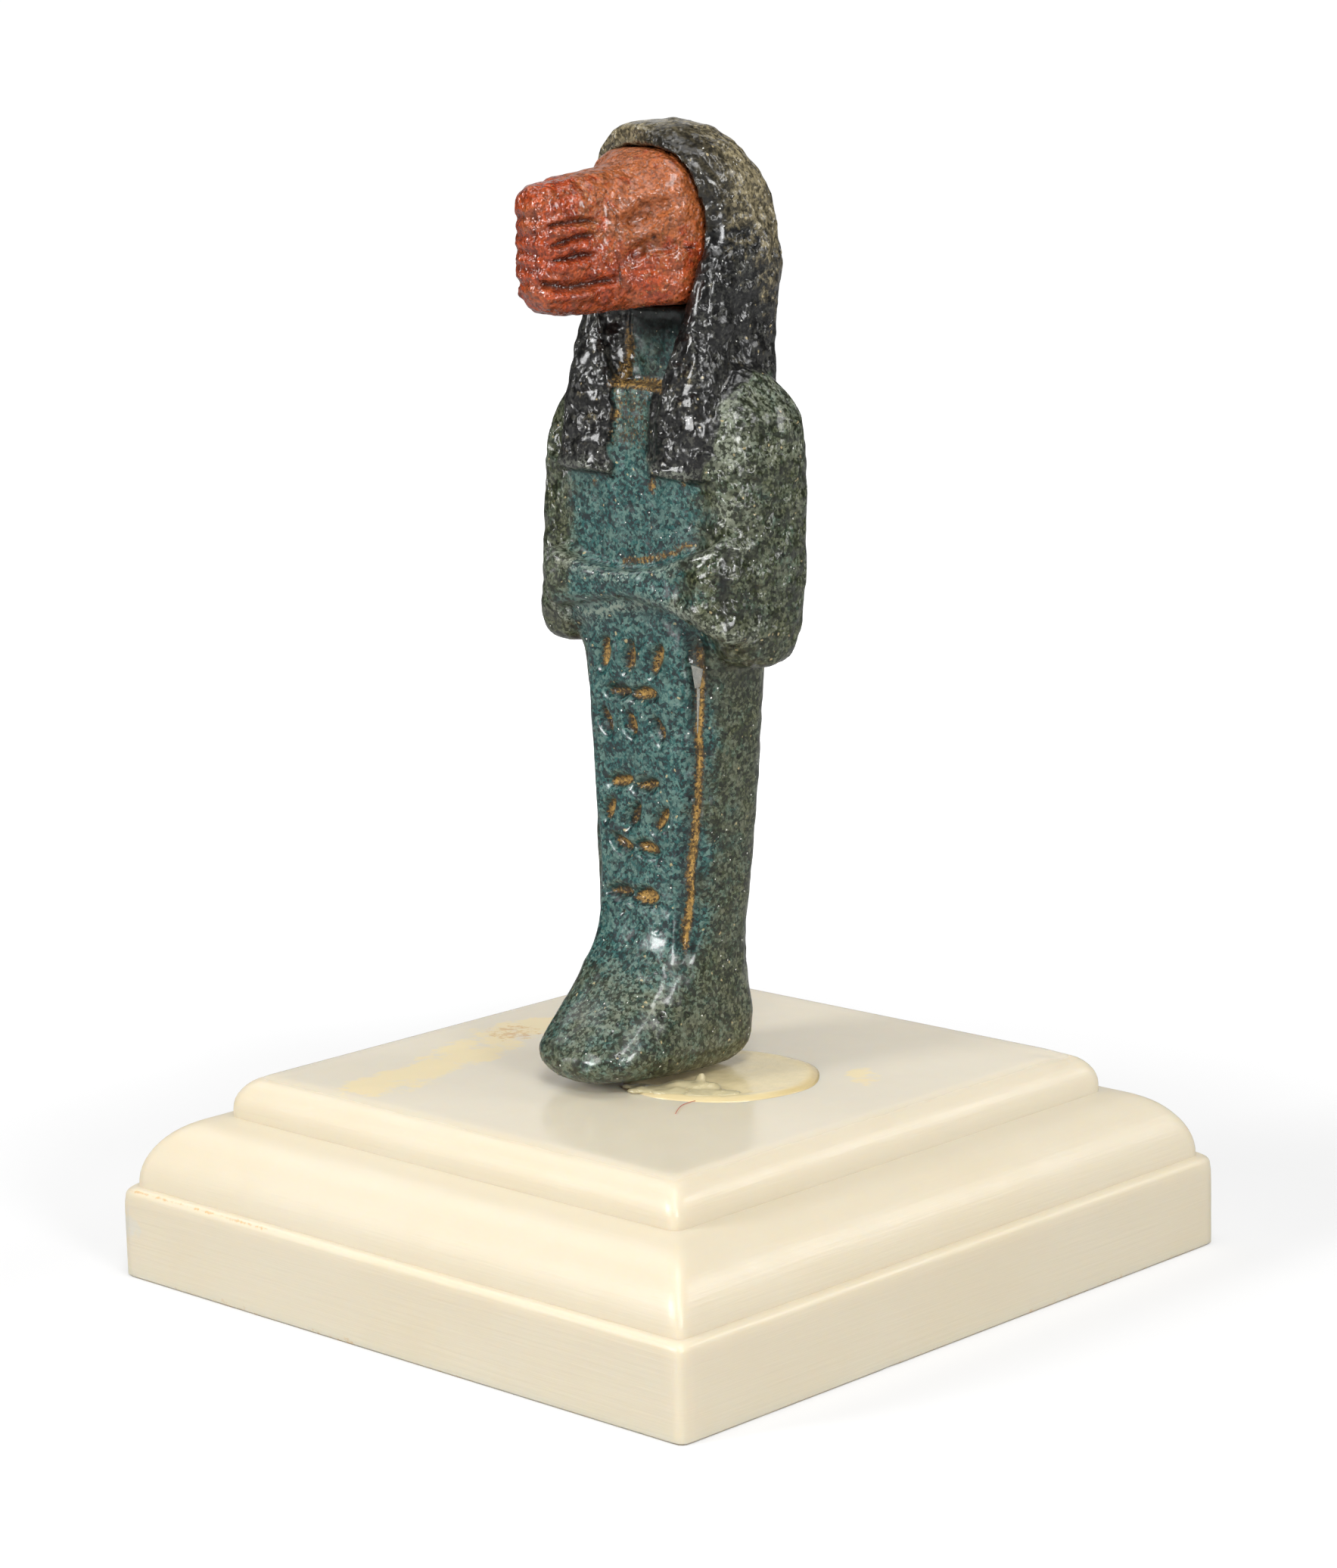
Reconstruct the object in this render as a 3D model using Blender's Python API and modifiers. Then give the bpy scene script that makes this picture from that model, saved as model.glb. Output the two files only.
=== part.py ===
# A small animal-headed figurine of glazed faience on a stepped stone base.
# Metres, +Z up. The figure looks along -Y and its left side is +X.
# The origin is the centre of the base's underside.
import math

import bmesh
import bpy
from mathutils import Matrix, Vector

mm = 0.001

# Display base: a square plinth under two quarter round mouldings
base_side = 50.0 * mm
plinth_height = 6.0 * mm
edge_round = 0.45 * mm
ledge_width = 0.7 * mm
lower_moulding = 4.45 * mm
upper_riser = 0.5 * mm
upper_moulding = 2.15 * mm

# Figurine: its form is drawn in sixtieths of its own height
figure_height = 59.6 * mm
part = figure_height / 60.0
figure_x = 0.4 * mm
figure_y = 0.36 * mm
lean_angle = math.radians(1.45)
lean_heading = math.radians(44.0)
head_turn = math.radians(-8.0)
brow_turn = math.radians(-15.0)
head_shift = -0.25 * mm

# Fits between the pieces
seat_gap = 0.1 * mm
adhesive_film = 0.25 * mm
adhesive_squeeze = 0.15 * mm
foot_clearance = 0.1 * mm
head_clearance = 0.3 * mm
socket_reach = 3.0 * mm

# Adhesive pad under the foot and the lump that was squeezed out in front
pad_radius = 6.4 * mm
pad_x = 5.0 * mm
pad_y = -0.1 * mm
lump_length = 5.6 * mm
lump_width = 3.0 * mm
lump_height = 0.8 * mm
lump_x = 5.6 * mm
lump_y = -4.5 * mm
lump_turn = math.radians(40.0)
lump_cut = 0.08 * mm

# Fineness of the faceted solids
ring_points = 48
voxel_size = 0.3 * part
body_triangles = 4800
head_triangles = 1300
tool_sides = 1


# Scene, collections and materials
def clear_scene():
    for item in list(bpy.data.objects):
        bpy.data.objects.remove(item, do_unlink=True)


def new_collection(name):
    group = bpy.data.collections.new(name)
    bpy.context.scene.collection.children.link(group)
    return group


def new_material(name, colour, roughness, metallic=0.0):
    material = bpy.data.materials.new(name)
    material.use_nodes = True
    shader = material.node_tree.nodes["Principled BSDF"]
    shader.inputs["Base Color"].default_value = (*colour, 1.0)
    shader.inputs["Roughness"].default_value = roughness
    shader.inputs["Metallic"].default_value = metallic
    return material


def new_object(name, mesh, group):
    item = bpy.data.objects.new(name, mesh)
    group.objects.link(item)
    return item


def as_cutter(item):
    item.hide_render = True
    item.display_type = "WIRE"
    return item


# Lofts: rings of points, smoothed between the sections that are given
def power(value, exponent):
    return math.copysign(abs(value) ** exponent, value)


def fair_rows(rows, steps):
    faired = []
    last = len(rows) - 1
    for index in range(last):
        before = rows[max(index - 1, 0)]
        start = rows[index]
        end = rows[index + 1]
        after = rows[min(index + 2, last)]
        for step in range(steps):
            t = step / steps
            row = []
            for a, b, c, d in zip(before, start, end, after):
                pull = 2.0 * b + (c - a) * t
                bend = (2.0 * a - 5.0 * b + 4.0 * c - d) * t * t
                twist = (3.0 * b - a - 3.0 * c + d) * t * t * t
                row.append(0.5 * (pull + bend + twist))
            faired.append(tuple(row))
    faired.append(rows[last])
    return faired


def upright_ring(row, grow=0.0):
    z, centre_x, centre_y, half, front, back, square = row
    points = []
    for index in range(ring_points):
        angle = 2.0 * math.pi * index / ring_points
        across = power(math.cos(angle), 2.0 / square)
        along = power(math.sin(angle), 2.0 / square)
        depth = back if along > 0.0 else front
        x = centre_x + (half + grow) * across
        y = centre_y + (depth + grow) * along
        points.append(Vector((x, y, z)) * part)
    return points


def sideways_ring(row):
    x, centre_y, centre_z, deep, tall, square = row
    points = []
    for index in range(ring_points):
        angle = 2.0 * math.pi * index / ring_points
        y = centre_y + deep * power(math.cos(angle), 2.0 / square)
        z = centre_z + tall * power(math.sin(angle), 2.0 / square)
        points.append(Vector((x, y, z)) * part)
    return points


def forward_ring(row, grow=0.0):
    reach, centre_z, up, down, half, arch, jaw = row
    points = []
    for index in range(ring_points):
        angle = 2.0 * math.pi * index / ring_points
        upper = math.sin(angle) > 0.0
        square = arch if upper else jaw
        rise = up if upper else down
        x = (half + grow) * power(math.cos(angle), 2.0 / square)
        z = centre_z + (rise + grow) * power(math.sin(angle), 2.0 / square)
        points.append(Vector((x, -reach, z)) * part)
    return points


def loft(name, rings, group):
    mesh = bpy.data.meshes.new(name)
    bm = bmesh.new()
    built = [[bm.verts.new(point) for point in ring] for ring in rings]
    for lower, upper in zip(built, built[1:]):
        for index in range(len(lower)):
            after = (index + 1) % len(lower)
            bm.faces.new((lower[index], lower[after], upper[after], upper[index]))
    bm.faces.new(list(reversed(built[0])))
    bm.faces.new(built[-1])
    bmesh.ops.recalc_face_normals(bm, faces=bm.faces)
    bm.to_mesh(mesh)
    bm.free()
    return new_object(name, mesh, group)


# Joining, cutting and thinning out
def evaluated_copy(item, name, group):
    bpy.context.view_layer.update()
    source = item.evaluated_get(bpy.context.evaluated_depsgraph_get())
    mesh = bpy.data.meshes.new_from_object(source)
    mesh.name = name
    copy = new_object(name, mesh, group)
    copy.matrix_world = item.matrix_world
    return copy


def joined(name, pieces, group):
    mesh = bpy.data.meshes.new(name)
    bm = bmesh.new()
    for piece in pieces:
        bm.from_mesh(piece.data)
    bm.to_mesh(mesh)
    bm.free()
    return new_object(name, mesh, group)


def fuse(item, smoothing):
    remesh = item.modifiers.new("fused skin", "REMESH")
    remesh.mode = "VOXEL"
    remesh.voxel_size = voxel_size
    smooth = item.modifiers.new("worn forms", "SMOOTH")
    smooth.factor = 0.5
    smooth.iterations = smoothing


def carving_tool(name, points, radius, group):
    curve = bpy.data.curves.new(name, "CURVE")
    curve.dimensions = "3D"
    curve.bevel_depth = radius
    curve.bevel_resolution = tool_sides
    curve.use_fill_caps = True
    spline = curve.splines.new("POLY")
    spline.points.add(len(points) - 1)
    for target, point in zip(spline.points, points):
        target.co = (*point, 1.0)
    wire = new_object(name, curve, group)
    bpy.context.view_layer.update()
    source = wire.evaluated_get(bpy.context.evaluated_depsgraph_get())
    mesh = bpy.data.meshes.new_from_object(source)
    bpy.data.objects.remove(wire, do_unlink=True)
    bm = bmesh.new()
    bm.from_mesh(mesh)
    bmesh.ops.remove_doubles(bm, verts=bm.verts, dist=0.000001)
    bmesh.ops.recalc_face_normals(bm, faces=bm.faces)
    bm.to_mesh(mesh)
    bm.free()
    return as_cutter(new_object(name, mesh, group))


def carve(item, tools):
    cut = item.modifiers.new(tools.name, "BOOLEAN")
    cut.operation = "DIFFERENCE"
    cut.operand_type = "COLLECTION"
    cut.collection = tools
    cut.solver = "EXACT"


def boolean(item, cutter, operation):
    cut = item.modifiers.new(cutter.name, "BOOLEAN")
    cut.operation = operation
    cut.object = cutter
    cut.solver = "EXACT"


def thin_out(item, triangles):
    bpy.context.view_layer.update()
    source = item.evaluated_get(bpy.context.evaluated_depsgraph_get())
    faces = sum(len(polygon.vertices) - 2 for polygon in source.data.polygons)
    decimate = item.modifiers.new("fewer facets", "DECIMATE")
    decimate.ratio = min(1.0, triangles / faces)
    decimate.use_collapse_triangulate = True


# Display base
def build_base(group, material):
    half = base_side / 2.0
    foot = half - ledge_width
    step = foot - lower_moulding
    flat = step - upper_moulding
    lower_top = plinth_height + lower_moulding
    upper_foot = lower_top + upper_riser
    outline = [(0.0, upper_foot + upper_moulding)]
    outline += quarter(flat, upper_foot, upper_moulding, 6)
    outline += quarter(step, plinth_height, lower_moulding, 8)
    outline += quarter(half - edge_round, plinth_height - edge_round, edge_round, 3)
    outline += [(half, 0.0), (0.0, 0.0)]
    mesh = bpy.data.meshes.new("display_base")
    diagonal = math.sqrt(2.0)
    points = [(radius * diagonal, 0.0, height) for radius, height in outline]
    edges = [(index, index + 1) for index in range(len(points) - 1)]
    mesh.from_pydata(points, edges, [])
    base = new_object("display_base", mesh, group)
    turn = base.modifiers.new("four sides", "SCREW")
    turn.steps = 4
    turn.render_steps = 4
    turn.use_merge_vertices = True
    turn.merge_threshold = 0.00001
    turn.use_smooth_shade = False
    base.rotation_euler.z = math.radians(45.0)
    mesh.materials.append(material)
    return base


def quarter(centre, height, radius, steps):
    points = []
    for step in range(steps + 1):
        angle = math.radians(90.0 - 90.0 * step / steps)
        points.append((centre + radius * math.cos(angle), height + radius * math.sin(angle)))
    return points


# Figurine sections: height, centre x, centre y, half width, front, back, squareness
legs_and_foot = [
    (0.0, -0.2, 0.0, 3.4, 8.7, 2.4, 2.3),
    (0.45, -0.1, 0.0, 4.3, 9.5, 3.1, 2.8),
    (1.6, 0.0, 0.0, 4.8, 9.8, 3.6, 3.6),
    (3.2, 0.0, 0.0, 4.9, 8.5, 3.8, 3.4),
    (5.0, 0.0, 0.0, 4.8, 6.7, 3.7, 3.2),
    (7.0, 0.0, 0.0, 4.7, 5.1, 3.4, 3.2),
    (9.0, 0.0, 0.0, 4.7, 4.0, 3.3, 3.3),
    (13.0, 0.0, 0.0, 5.0, 3.45, 3.4, 3.8),
    (18.0, 0.0, 0.0, 5.3, 3.55, 3.55, 4.0),
    (23.0, 0.0, 0.0, 5.6, 3.7, 3.65, 4.0),
    (28.0, 0.0, 0.0, 5.85, 3.9, 3.75, 4.0),
    (31.0, 0.0, 0.0, 5.4, 3.6, 3.4, 3.4),
]
torso = [
    (28.8, 0.0, 0.0, 5.8, 3.7, 3.4, 3.4),
    (30.5, 0.0, 0.0, 7.8, 3.9, 3.6, 3.8),
    (34.0, 0.0, 0.0, 8.8, 3.9, 3.7, 4.0),
    (38.0, 0.0, 0.0, 8.8, 3.95, 3.7, 4.0),
    (41.5, 0.0, 0.0, 8.0, 3.9, 3.6, 3.8),
    (43.6, 0.0, 0.0, 6.4, 3.8, 3.4, 3.4),
]
left_arm = [
    (26.4, 7.2, 0.0, 0.8, 1.4, 1.2, 2.0),
    (27.0, 7.2, 0.0, 1.5, 2.5, 2.3, 2.3),
    (28.6, 7.15, 0.0, 1.95, 3.3, 3.1, 2.6),
    (32.0, 7.05, 0.0, 2.05, 3.7, 3.5, 3.0),
    (36.0, 7.10, 0.0, 2.0, 3.7, 3.5, 3.0),
    (39.5, 7.00, 0.0, 2.0, 3.7, 3.5, 3.0),
    (41.8, 6.80, 0.0, 1.95, 3.4, 3.3, 2.9),
    (43.2, 6.30, 0.0, 1.6, 2.9, 2.9, 2.6),
    (44.3, 5.80, 0.0, 1.3, 2.0, 2.0, 2.3),
    (44.9, 5.4, 0.0, 0.9, 1.3, 1.3, 2.0),
]
right_arm = [
    (26.7, -7.2, 0.0, 1.2, 2.0, 1.8, 2.2),
    (27.2, -7.3, 0.0, 1.8, 3.1, 2.9, 2.8),
    (28.8, -7.3, 0.0, 2.05, 3.6, 3.4, 3.2),
    (32.0, -7.10, 0.0, 2.05, 3.7, 3.5, 3.0),
    (36.0, -7.10, 0.0, 2.0, 3.6, 3.5, 3.0),
    (39.0, -6.80, 0.0, 2.0, 3.6, 3.4, 3.0),
    (41.4, -6.4, 0.0, 1.9, 3.3, 3.2, 2.8),
    (43.2, -5.8, 0.0, 1.6, 2.7, 2.7, 2.5),
    (44.6, -5.2, 0.0, 1.2, 1.8, 1.8, 2.2),
]
neck = [
    (40.0, 0.2, 0.5, 4.2, 2.8, 3.0, 3.0),
    (46.0, 0.2, 0.5, 4.2, 2.8, 3.0, 3.0),
    (50.0, 0.2, 0.5, 4.4, 2.8, 3.0, 3.0),
]
wig = [
    (41.0, 0.2, 1.4, 5.3, 4.4, 3.0, 2.8),
    (44.0, 0.1, 1.5, 5.8, 4.8, 3.3, 2.8),
    (47.0, 0.0, 1.5, 5.8, 4.8, 3.4, 2.8),
    (49.5, 0.0, 1.4, 6.0, 4.6, 3.8, 2.8),
    (52.0, 0.0, 1.2, 6.2, 4.3, 4.2, 2.8),
    (54.5, -0.1, 0.8, 6.0, 4.1, 4.2, 2.7),
    (56.6, -0.2, 0.1, 5.7, 4.0, 3.9, 2.7),
    (58.2, -0.4, -0.2, 4.9, 3.6, 3.3, 2.6),
    (59.3, -0.5, -0.2, 3.4, 2.7, 2.4, 2.4),
    (59.8, -0.5, -0.2, 1.6, 1.3, 1.2, 2.2),
]
# Lappet of the figure's left side; the right one mirrors it about the wig's middle
lappet = [
    (38.3, 4.4, -3.6, 1.7, 0.7, 1.0, 2.4),
    (38.8, 4.45, -3.6, 2.25, 1.3, 1.2, 3.0),
    (41.0, 4.45, -3.4, 2.25, 1.4, 1.4, 3.0),
    (44.0, 4.5, -3.0, 2.0, 1.5, 1.6, 2.8),
    (47.0, 4.75, -2.4, 1.4, 1.5, 1.8, 2.6),
    (50.0, 5.0, -1.8, 1.2, 1.5, 1.8, 2.4),
    (52.0, 5.1, -1.2, 1.0, 1.3, 1.6, 2.2),
]
lappet_middle = 0.45
# Folded forearms as one band: x, centre y, centre height, depth, half height, squareness
forearms = [
    (-6.6, -3.5, 31.1, 1.2, 1.5, 2.6),
    (-6.2, -3.5, 31.2, 1.75, 1.85, 3.4),
    (-4.0, -3.4, 31.1, 1.85, 1.35, 3.2),
    (-1.0, -3.3, 31.2, 1.85, 0.95, 2.8),
    (1.5, -3.3, 31.4, 1.85, 0.85, 2.8),
    (4.0, -3.3, 31.5, 1.85, 1.5, 3.0),
    (7.0, -3.3, 31.5, 1.8, 2.6, 3.4),
    (8.2, -3.1, 31.4, 1.6, 3.0, 3.4),
    (8.9, -2.8, 31.4, 0.9, 2.4, 2.8),
]
# Throat hollow between the lappets, as a cutter
throat = [
    (43.7, 0.3, -5.2, 2.2, 3.0, 3.0, 5.0),
    (45.0, 0.3, -5.2, 2.5, 3.0, 3.0, 5.0),
    (47.0, 0.3, -5.2, 3.3, 3.0, 3.0, 5.0),
    (49.5, 0.3, -5.2, 3.9, 3.0, 3.0, 5.0),
]
# Space in front of the brow, as a cutter, in the same terms as the head
brow = [
    (2.6, 57.5, 5.0, 4.0, 9.0, 8.0, 8.0),
    (5.0, 57.5, 5.0, 7.5, 9.0, 8.0, 8.0),
    (8.0, 57.5, 5.0, 7.5, 9.0, 8.0, 8.0),
]
# Animal head sections: reach forward, middle height, up, down, half width, arch, jaw
face_plate = [
    (0.7, 53.3, 4.9, 4.6, 4.75, 3.4, 8.0),
    (2.8, 53.3, 4.9, 4.6, 4.75, 3.4, 8.0),
]
muzzle = [
    (2.8, 53.3, 4.9, 4.6, 4.75, 3.4, 8.0),
    (3.6, 53.2, 4.6, 4.6, 4.3, 3.0, 6.0),
    (4.6, 53.0, 4.2, 4.6, 3.4, 2.6, 4.0),
    (6.0, 52.8, 4.2, 4.5, 2.8, 2.8, 4.0),
    (8.0, 52.6, 4.1, 4.4, 2.3, 3.2, 4.0),
    (9.8, 52.4, 3.9, 4.1, 1.9, 3.8, 4.0),
    (10.8, 52.4, 3.7, 3.5, 1.65, 4.4, 3.6),
    (11.3, 52.5, 3.2, 2.5, 1.3, 3.8, 3.2),
]


# Border down each edge of the legs, as x and height on the left side
leg_border = [
    (4.98, 28.6),
    (4.93, 25.0),
    (4.78, 21.0),
    (4.58, 17.5),
    (4.13, 14.0),
    (3.93, 10.0),
    (4.08, 7.5),
]
border_radius = 0.36
# Rows of strokes down the front: height, slope in degrees, how many, length
stroke_rows = [
    (26.6, 70.0, 3, 1.8),
    (24.3, 6.0, 2, 1.9),
    (22.2, 112.0, 3, 1.4),
    (18.5, 14.0, 2, 1.9),
    (16.4, 62.0, 3, 1.6),
    (14.4, 172.0, 2, 1.7),
    (11.3, 8.0, 2, 2.0),
]
stroke_middle = -0.3
stroke_pitch = 2.3
stroke_radius = 0.32
# Lines on each side of the head: name, radius, and points as reach and height
side_lines = [
    ("upper whisker line", 0.16, [(10.6, 53.8), (9.3, 54.0), (8.1, 54.05)]),
    ("middle whisker line", 0.18, [(10.6, 52.5), (9.2, 52.9), (7.8, 53.15)]),
    ("lower whisker line", 0.16, [(10.5, 51.75), (9.2, 51.9), (8.0, 52.0)]),
    ("mouth line", 0.26, [(10.9, 50.2), (10.0, 50.05), (8.1, 50.2), (6.3, 50.55)]),
    ("cheek crease", 0.2, [(6.1, 51.7), (5.4, 52.0), (4.6, 52.4), (3.4, 52.5)]),
    ("cheek ridge line", 0.16, [(6.4, 53.9), (5.2, 54.4), (4.0, 54.7)]),
]
front_lines = [54.2, 53.1, 52.1, 51.15, 50.2]
front_line_stops = [-1.5, -0.8, 0.8, 1.5]
front_radius = 0.18
# Where the rays that look for the surface start, clear of every form
clear_distance = 16.0


def mirrored(rows, middle):
    return [(row[0], 2.0 * middle - row[1], *row[2:]) for row in rows]


def surface_point(item, start, heading):
    found, place, normal, index = item.ray_cast(Vector(start) * part, Vector(heading))
    return place


def settled(item, name, group, material):
    finished = evaluated_copy(item, name + " finished", group)
    bpy.data.objects.remove(item, do_unlink=True)
    finished.name = name
    finished.data.materials.clear()
    finished.data.materials.append(material)
    return finished


def build_body(group, cutters, material):
    forms = []
    for name, rows in (
        ("legs and foot", legs_and_foot),
        ("torso", torso),
        ("left arm", left_arm),
        ("right arm", right_arm),
        ("neck", neck),
        ("wig", wig),
        ("left lappet", lappet),
        ("right lappet", mirrored(lappet, lappet_middle)),
    ):
        rings = [upright_ring(row) for row in fair_rows(rows, 4)]
        forms.append(as_cutter(loft(name, rings, cutters)))
    rings = [sideways_ring(row) for row in fair_rows(forearms, 4)]
    forms.append(as_cutter(loft("forearms", rings, cutters)))
    rough = as_cutter(joined("body forms", forms, cutters))
    fuse(rough, 4)
    body = evaluated_copy(rough, "rough body", group)
    hollow = as_cutter(loft("throat hollow", [upright_ring(row) for row in throat], cutters))
    boolean(body, hollow, "DIFFERENCE")
    boolean(body, head_socket(cutters), "DIFFERENCE")
    boolean(body, brow_trim(cutters), "DIFFERENCE")
    thin_out(body, body_triangles)
    body = settled(body, "figurine_body", group, material)
    carve(body, leg_carving(body, cutters))
    return settled(body, "figurine_body", group, material)


# The socket takes the face plate's own sections, grown by the head's clearance
def head_socket(cutters):
    grow = head_clearance / part
    rings = [forward_ring(row, grow) for row in face_plate]
    rings[0] = [point + Vector((0.0, head_clearance, 0.0)) for point in rings[0]]
    rings[1] = [point - Vector((0.0, socket_reach, 0.0)) for point in rings[1]]
    socket = as_cutter(loft("head socket", rings, cutters))
    socket.rotation_euler.z = head_turn
    socket.location.x = head_shift
    return socket


# The wig's brow is trimmed back, more on its right, so that the face plate stands out
def brow_trim(cutters):
    rings = [forward_ring(row) for row in brow]
    trim = as_cutter(loft("brow trim", rings, cutters))
    trim.rotation_euler.z = brow_turn
    return trim


# Border grooves down the legs, with rows of short strokes between them
def leg_carving(body, cutters):
    tools = bpy.data.collections.new("leg carving")
    cutters.children.link(tools)
    for side in (1.0, -1.0):
        points = []
        for x, z in leg_border:
            points.append(surface_point(body, (side * x, -clear_distance, z), (0.0, 1.0, 0.0)))
        carving_tool("leg border", points, border_radius * part, tools)
    for z, slope, count, length in stroke_rows:
        angle = math.radians(slope)
        for index in range(count):
            x = stroke_middle + (index - (count - 1) / 2.0) * stroke_pitch
            reach = length / 2.0
            points = []
            for end in (-1.0, 1.0):
                start_x = x + end * reach * math.cos(angle)
                start_z = z + end * reach * math.sin(angle)
                start = (start_x, -clear_distance, start_z)
                points.append(surface_point(body, start, (0.0, 1.0, 0.0)))
            carving_tool("stroke", points, stroke_radius * part, tools)
    return tools


def build_head(group, cutters, material):
    rings = [forward_ring(face_plate[0])]
    rings += [forward_ring(row) for row in fair_rows(muzzle, 4)]
    rough = as_cutter(loft("head form", rings, cutters))
    fuse(rough, 2)
    thin_out(rough, head_triangles)
    head = evaluated_copy(rough, "rough head", group)
    carve(head, head_carving(head, cutters))
    head = settled(head, "animal_head", group, material)
    head.rotation_euler.z = head_turn
    head.location.x = head_shift
    return head


# Mouth line, whisker lines and cheek crease on both sides, and ridges across the front
def head_carving(head, cutters):
    tools = bpy.data.collections.new("head carving")
    cutters.children.link(tools)
    for side in (1.0, -1.0):
        for name, radius, line in side_lines:
            points = []
            for reach, z in line:
                start = (side * clear_distance, -reach, z)
                points.append(surface_point(head, start, (-side, 0.0, 0.0)))
            carving_tool(name, points, radius * part, tools)
    for z in front_lines:
        points = []
        for x in front_line_stops:
            points.append(surface_point(head, (x, -clear_distance, z), (0.0, 1.0, 0.0)))
        carving_tool("front line", points, front_radius * part, tools)
    return tools


def build_adhesive(group, cutters, material, figure, top):
    thickness = adhesive_film + adhesive_squeeze
    bm = bmesh.new()
    bmesh.ops.create_cone(
        bm,
        cap_ends=True,
        segments=40,
        radius1=pad_radius,
        radius2=pad_radius - adhesive_squeeze,
        depth=thickness,
    )
    mesh = bpy.data.meshes.new("pad")
    bm.to_mesh(mesh)
    bm.free()
    pad = new_object("pad", mesh, group)
    pad.location = (pad_x, pad_y, top + seat_gap + thickness / 2.0)
    lump = adhesive_lump(cutters, top + seat_gap + thickness / 2.0)
    print_rings = [upright_ring(row, foot_clearance / part) for row in fair_rows(legs_and_foot[:4], 3)]
    print_rings[0] = [point - Vector((0.0, 0.0, foot_clearance)) for point in print_rings[0]]
    foot_print = as_cutter(loft("foot print", print_rings, cutters))
    foot_print.parent = figure
    boolean(pad, lump, "UNION")
    boolean(pad, foot_print, "DIFFERENCE")
    return settled(pad, "adhesive_pad", group, material)


# The squeezed out lump is a flattened ball whose lower half is cut away by its own size
def adhesive_lump(cutters, foot_level):
    bm = bmesh.new()
    bmesh.ops.create_uvsphere(bm, u_segments=20, v_segments=10, radius=lump_height)
    for vertex in bm.verts:
        vertex.co.x *= lump_length / lump_height / 2.0
        vertex.co.y *= lump_width / lump_height / 2.0
        vertex.co.z = max(vertex.co.z, -lump_cut)
    mesh = bpy.data.meshes.new("lump")
    bmesh.ops.remove_doubles(bm, verts=bm.verts, dist=0.000001)
    bm.to_mesh(mesh)
    bm.free()
    lump = as_cutter(new_object("lump", mesh, cutters))
    lump.location = (lump_x, lump_y, foot_level)
    lump.rotation_euler.z = lump_turn
    return lump


def main():
    clear_scene()
    pieces = new_collection("animal headed figurine")
    cutters = new_collection("cutters")
    stone = new_material("cream alabaster", (0.86, 0.79, 0.64), 0.35)
    faience = new_material("teal faience", (0.05, 0.16, 0.16), 0.4)
    red = new_material("red faience", (0.36, 0.08, 0.04), 0.5)
    glue = new_material("clear adhesive", (0.8, 0.74, 0.52), 0.25)
    top = plinth_height + lower_moulding + upper_riser + upper_moulding
    build_base(pieces, stone)
    figure = bpy.data.objects.new("figure seat", None)
    pieces.objects.link(figure)
    sole = top + seat_gap + adhesive_film + foot_clearance
    figure.location = (figure_x, figure_y, sole)
    lean_axis = Vector((-math.sin(lean_heading), math.cos(lean_heading), 0.0))
    figure.rotation_mode = "QUATERNION"
    figure.rotation_quaternion = Matrix.Rotation(lean_angle, 3, lean_axis).to_quaternion()
    body = build_body(pieces, cutters, faience)
    head = build_head(pieces, cutters, red)
    body.parent = figure
    head.parent = figure
    build_adhesive(pieces, cutters, glue, figure, top)


main()
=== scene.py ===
# Looks of the small animal-headed figurine on its stepped stone base
import math

import bmesh
import bpy
import numpy as np
from mathutils import Matrix, Vector
from mathutils.bvhtree import BVHTree


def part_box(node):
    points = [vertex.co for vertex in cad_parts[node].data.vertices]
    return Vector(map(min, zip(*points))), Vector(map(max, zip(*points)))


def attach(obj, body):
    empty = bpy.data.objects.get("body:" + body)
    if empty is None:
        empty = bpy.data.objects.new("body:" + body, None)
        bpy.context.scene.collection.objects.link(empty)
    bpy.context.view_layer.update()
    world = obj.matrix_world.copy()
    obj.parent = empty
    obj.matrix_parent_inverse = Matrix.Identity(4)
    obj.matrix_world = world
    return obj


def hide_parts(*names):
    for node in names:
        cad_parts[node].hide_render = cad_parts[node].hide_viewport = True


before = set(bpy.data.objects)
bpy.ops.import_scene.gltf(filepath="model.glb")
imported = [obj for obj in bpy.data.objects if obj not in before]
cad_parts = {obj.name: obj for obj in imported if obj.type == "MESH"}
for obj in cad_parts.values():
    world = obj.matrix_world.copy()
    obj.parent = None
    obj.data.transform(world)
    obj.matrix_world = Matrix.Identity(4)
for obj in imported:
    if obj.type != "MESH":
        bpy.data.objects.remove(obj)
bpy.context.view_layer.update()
mm = 0.001
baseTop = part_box("display_base")[1].z

# The figure leans a little, so its carving is placed in its own upright space.
# There one part is a sixtieth of its height, and the head has a turn of its own.
stance = {
    "part": 59.6 * mm / 60.0,
    "seatX": 0.4 * mm,
    "seatY": 0.36 * mm,
    "seatLift": 0.45 * mm,
    "leanDegrees": 1.45,
    "leanHeading": 44.0,
    "headTurn": -8.0,
    "headShift": -0.25 * mm,
}


def figureSpace():
    heading = math.radians(stance["leanHeading"])
    axis = Vector((-math.sin(heading), math.cos(heading), 0.0))
    seat = Matrix.Translation((stance["seatX"], stance["seatY"], baseTop + stance["seatLift"]))
    lean = Matrix.Rotation(math.radians(stance["leanDegrees"]), 4, axis)
    return seat @ lean @ Matrix.Scale(stance["part"], 4)


def headSpace():
    shift = Matrix.Translation((stance["headShift"] / stance["part"], 0.0, 0.0))
    turn = Matrix.Rotation(math.radians(stance["headTurn"]), 4, "Z")
    return figureSpace() @ shift @ turn


# Mesh helpers: the work is done on whole arrays of points
def linkNew(name, data):
    piece = bpy.data.objects.new(name, data)
    bpy.context.scene.collection.objects.link(piece)
    return piece


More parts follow.
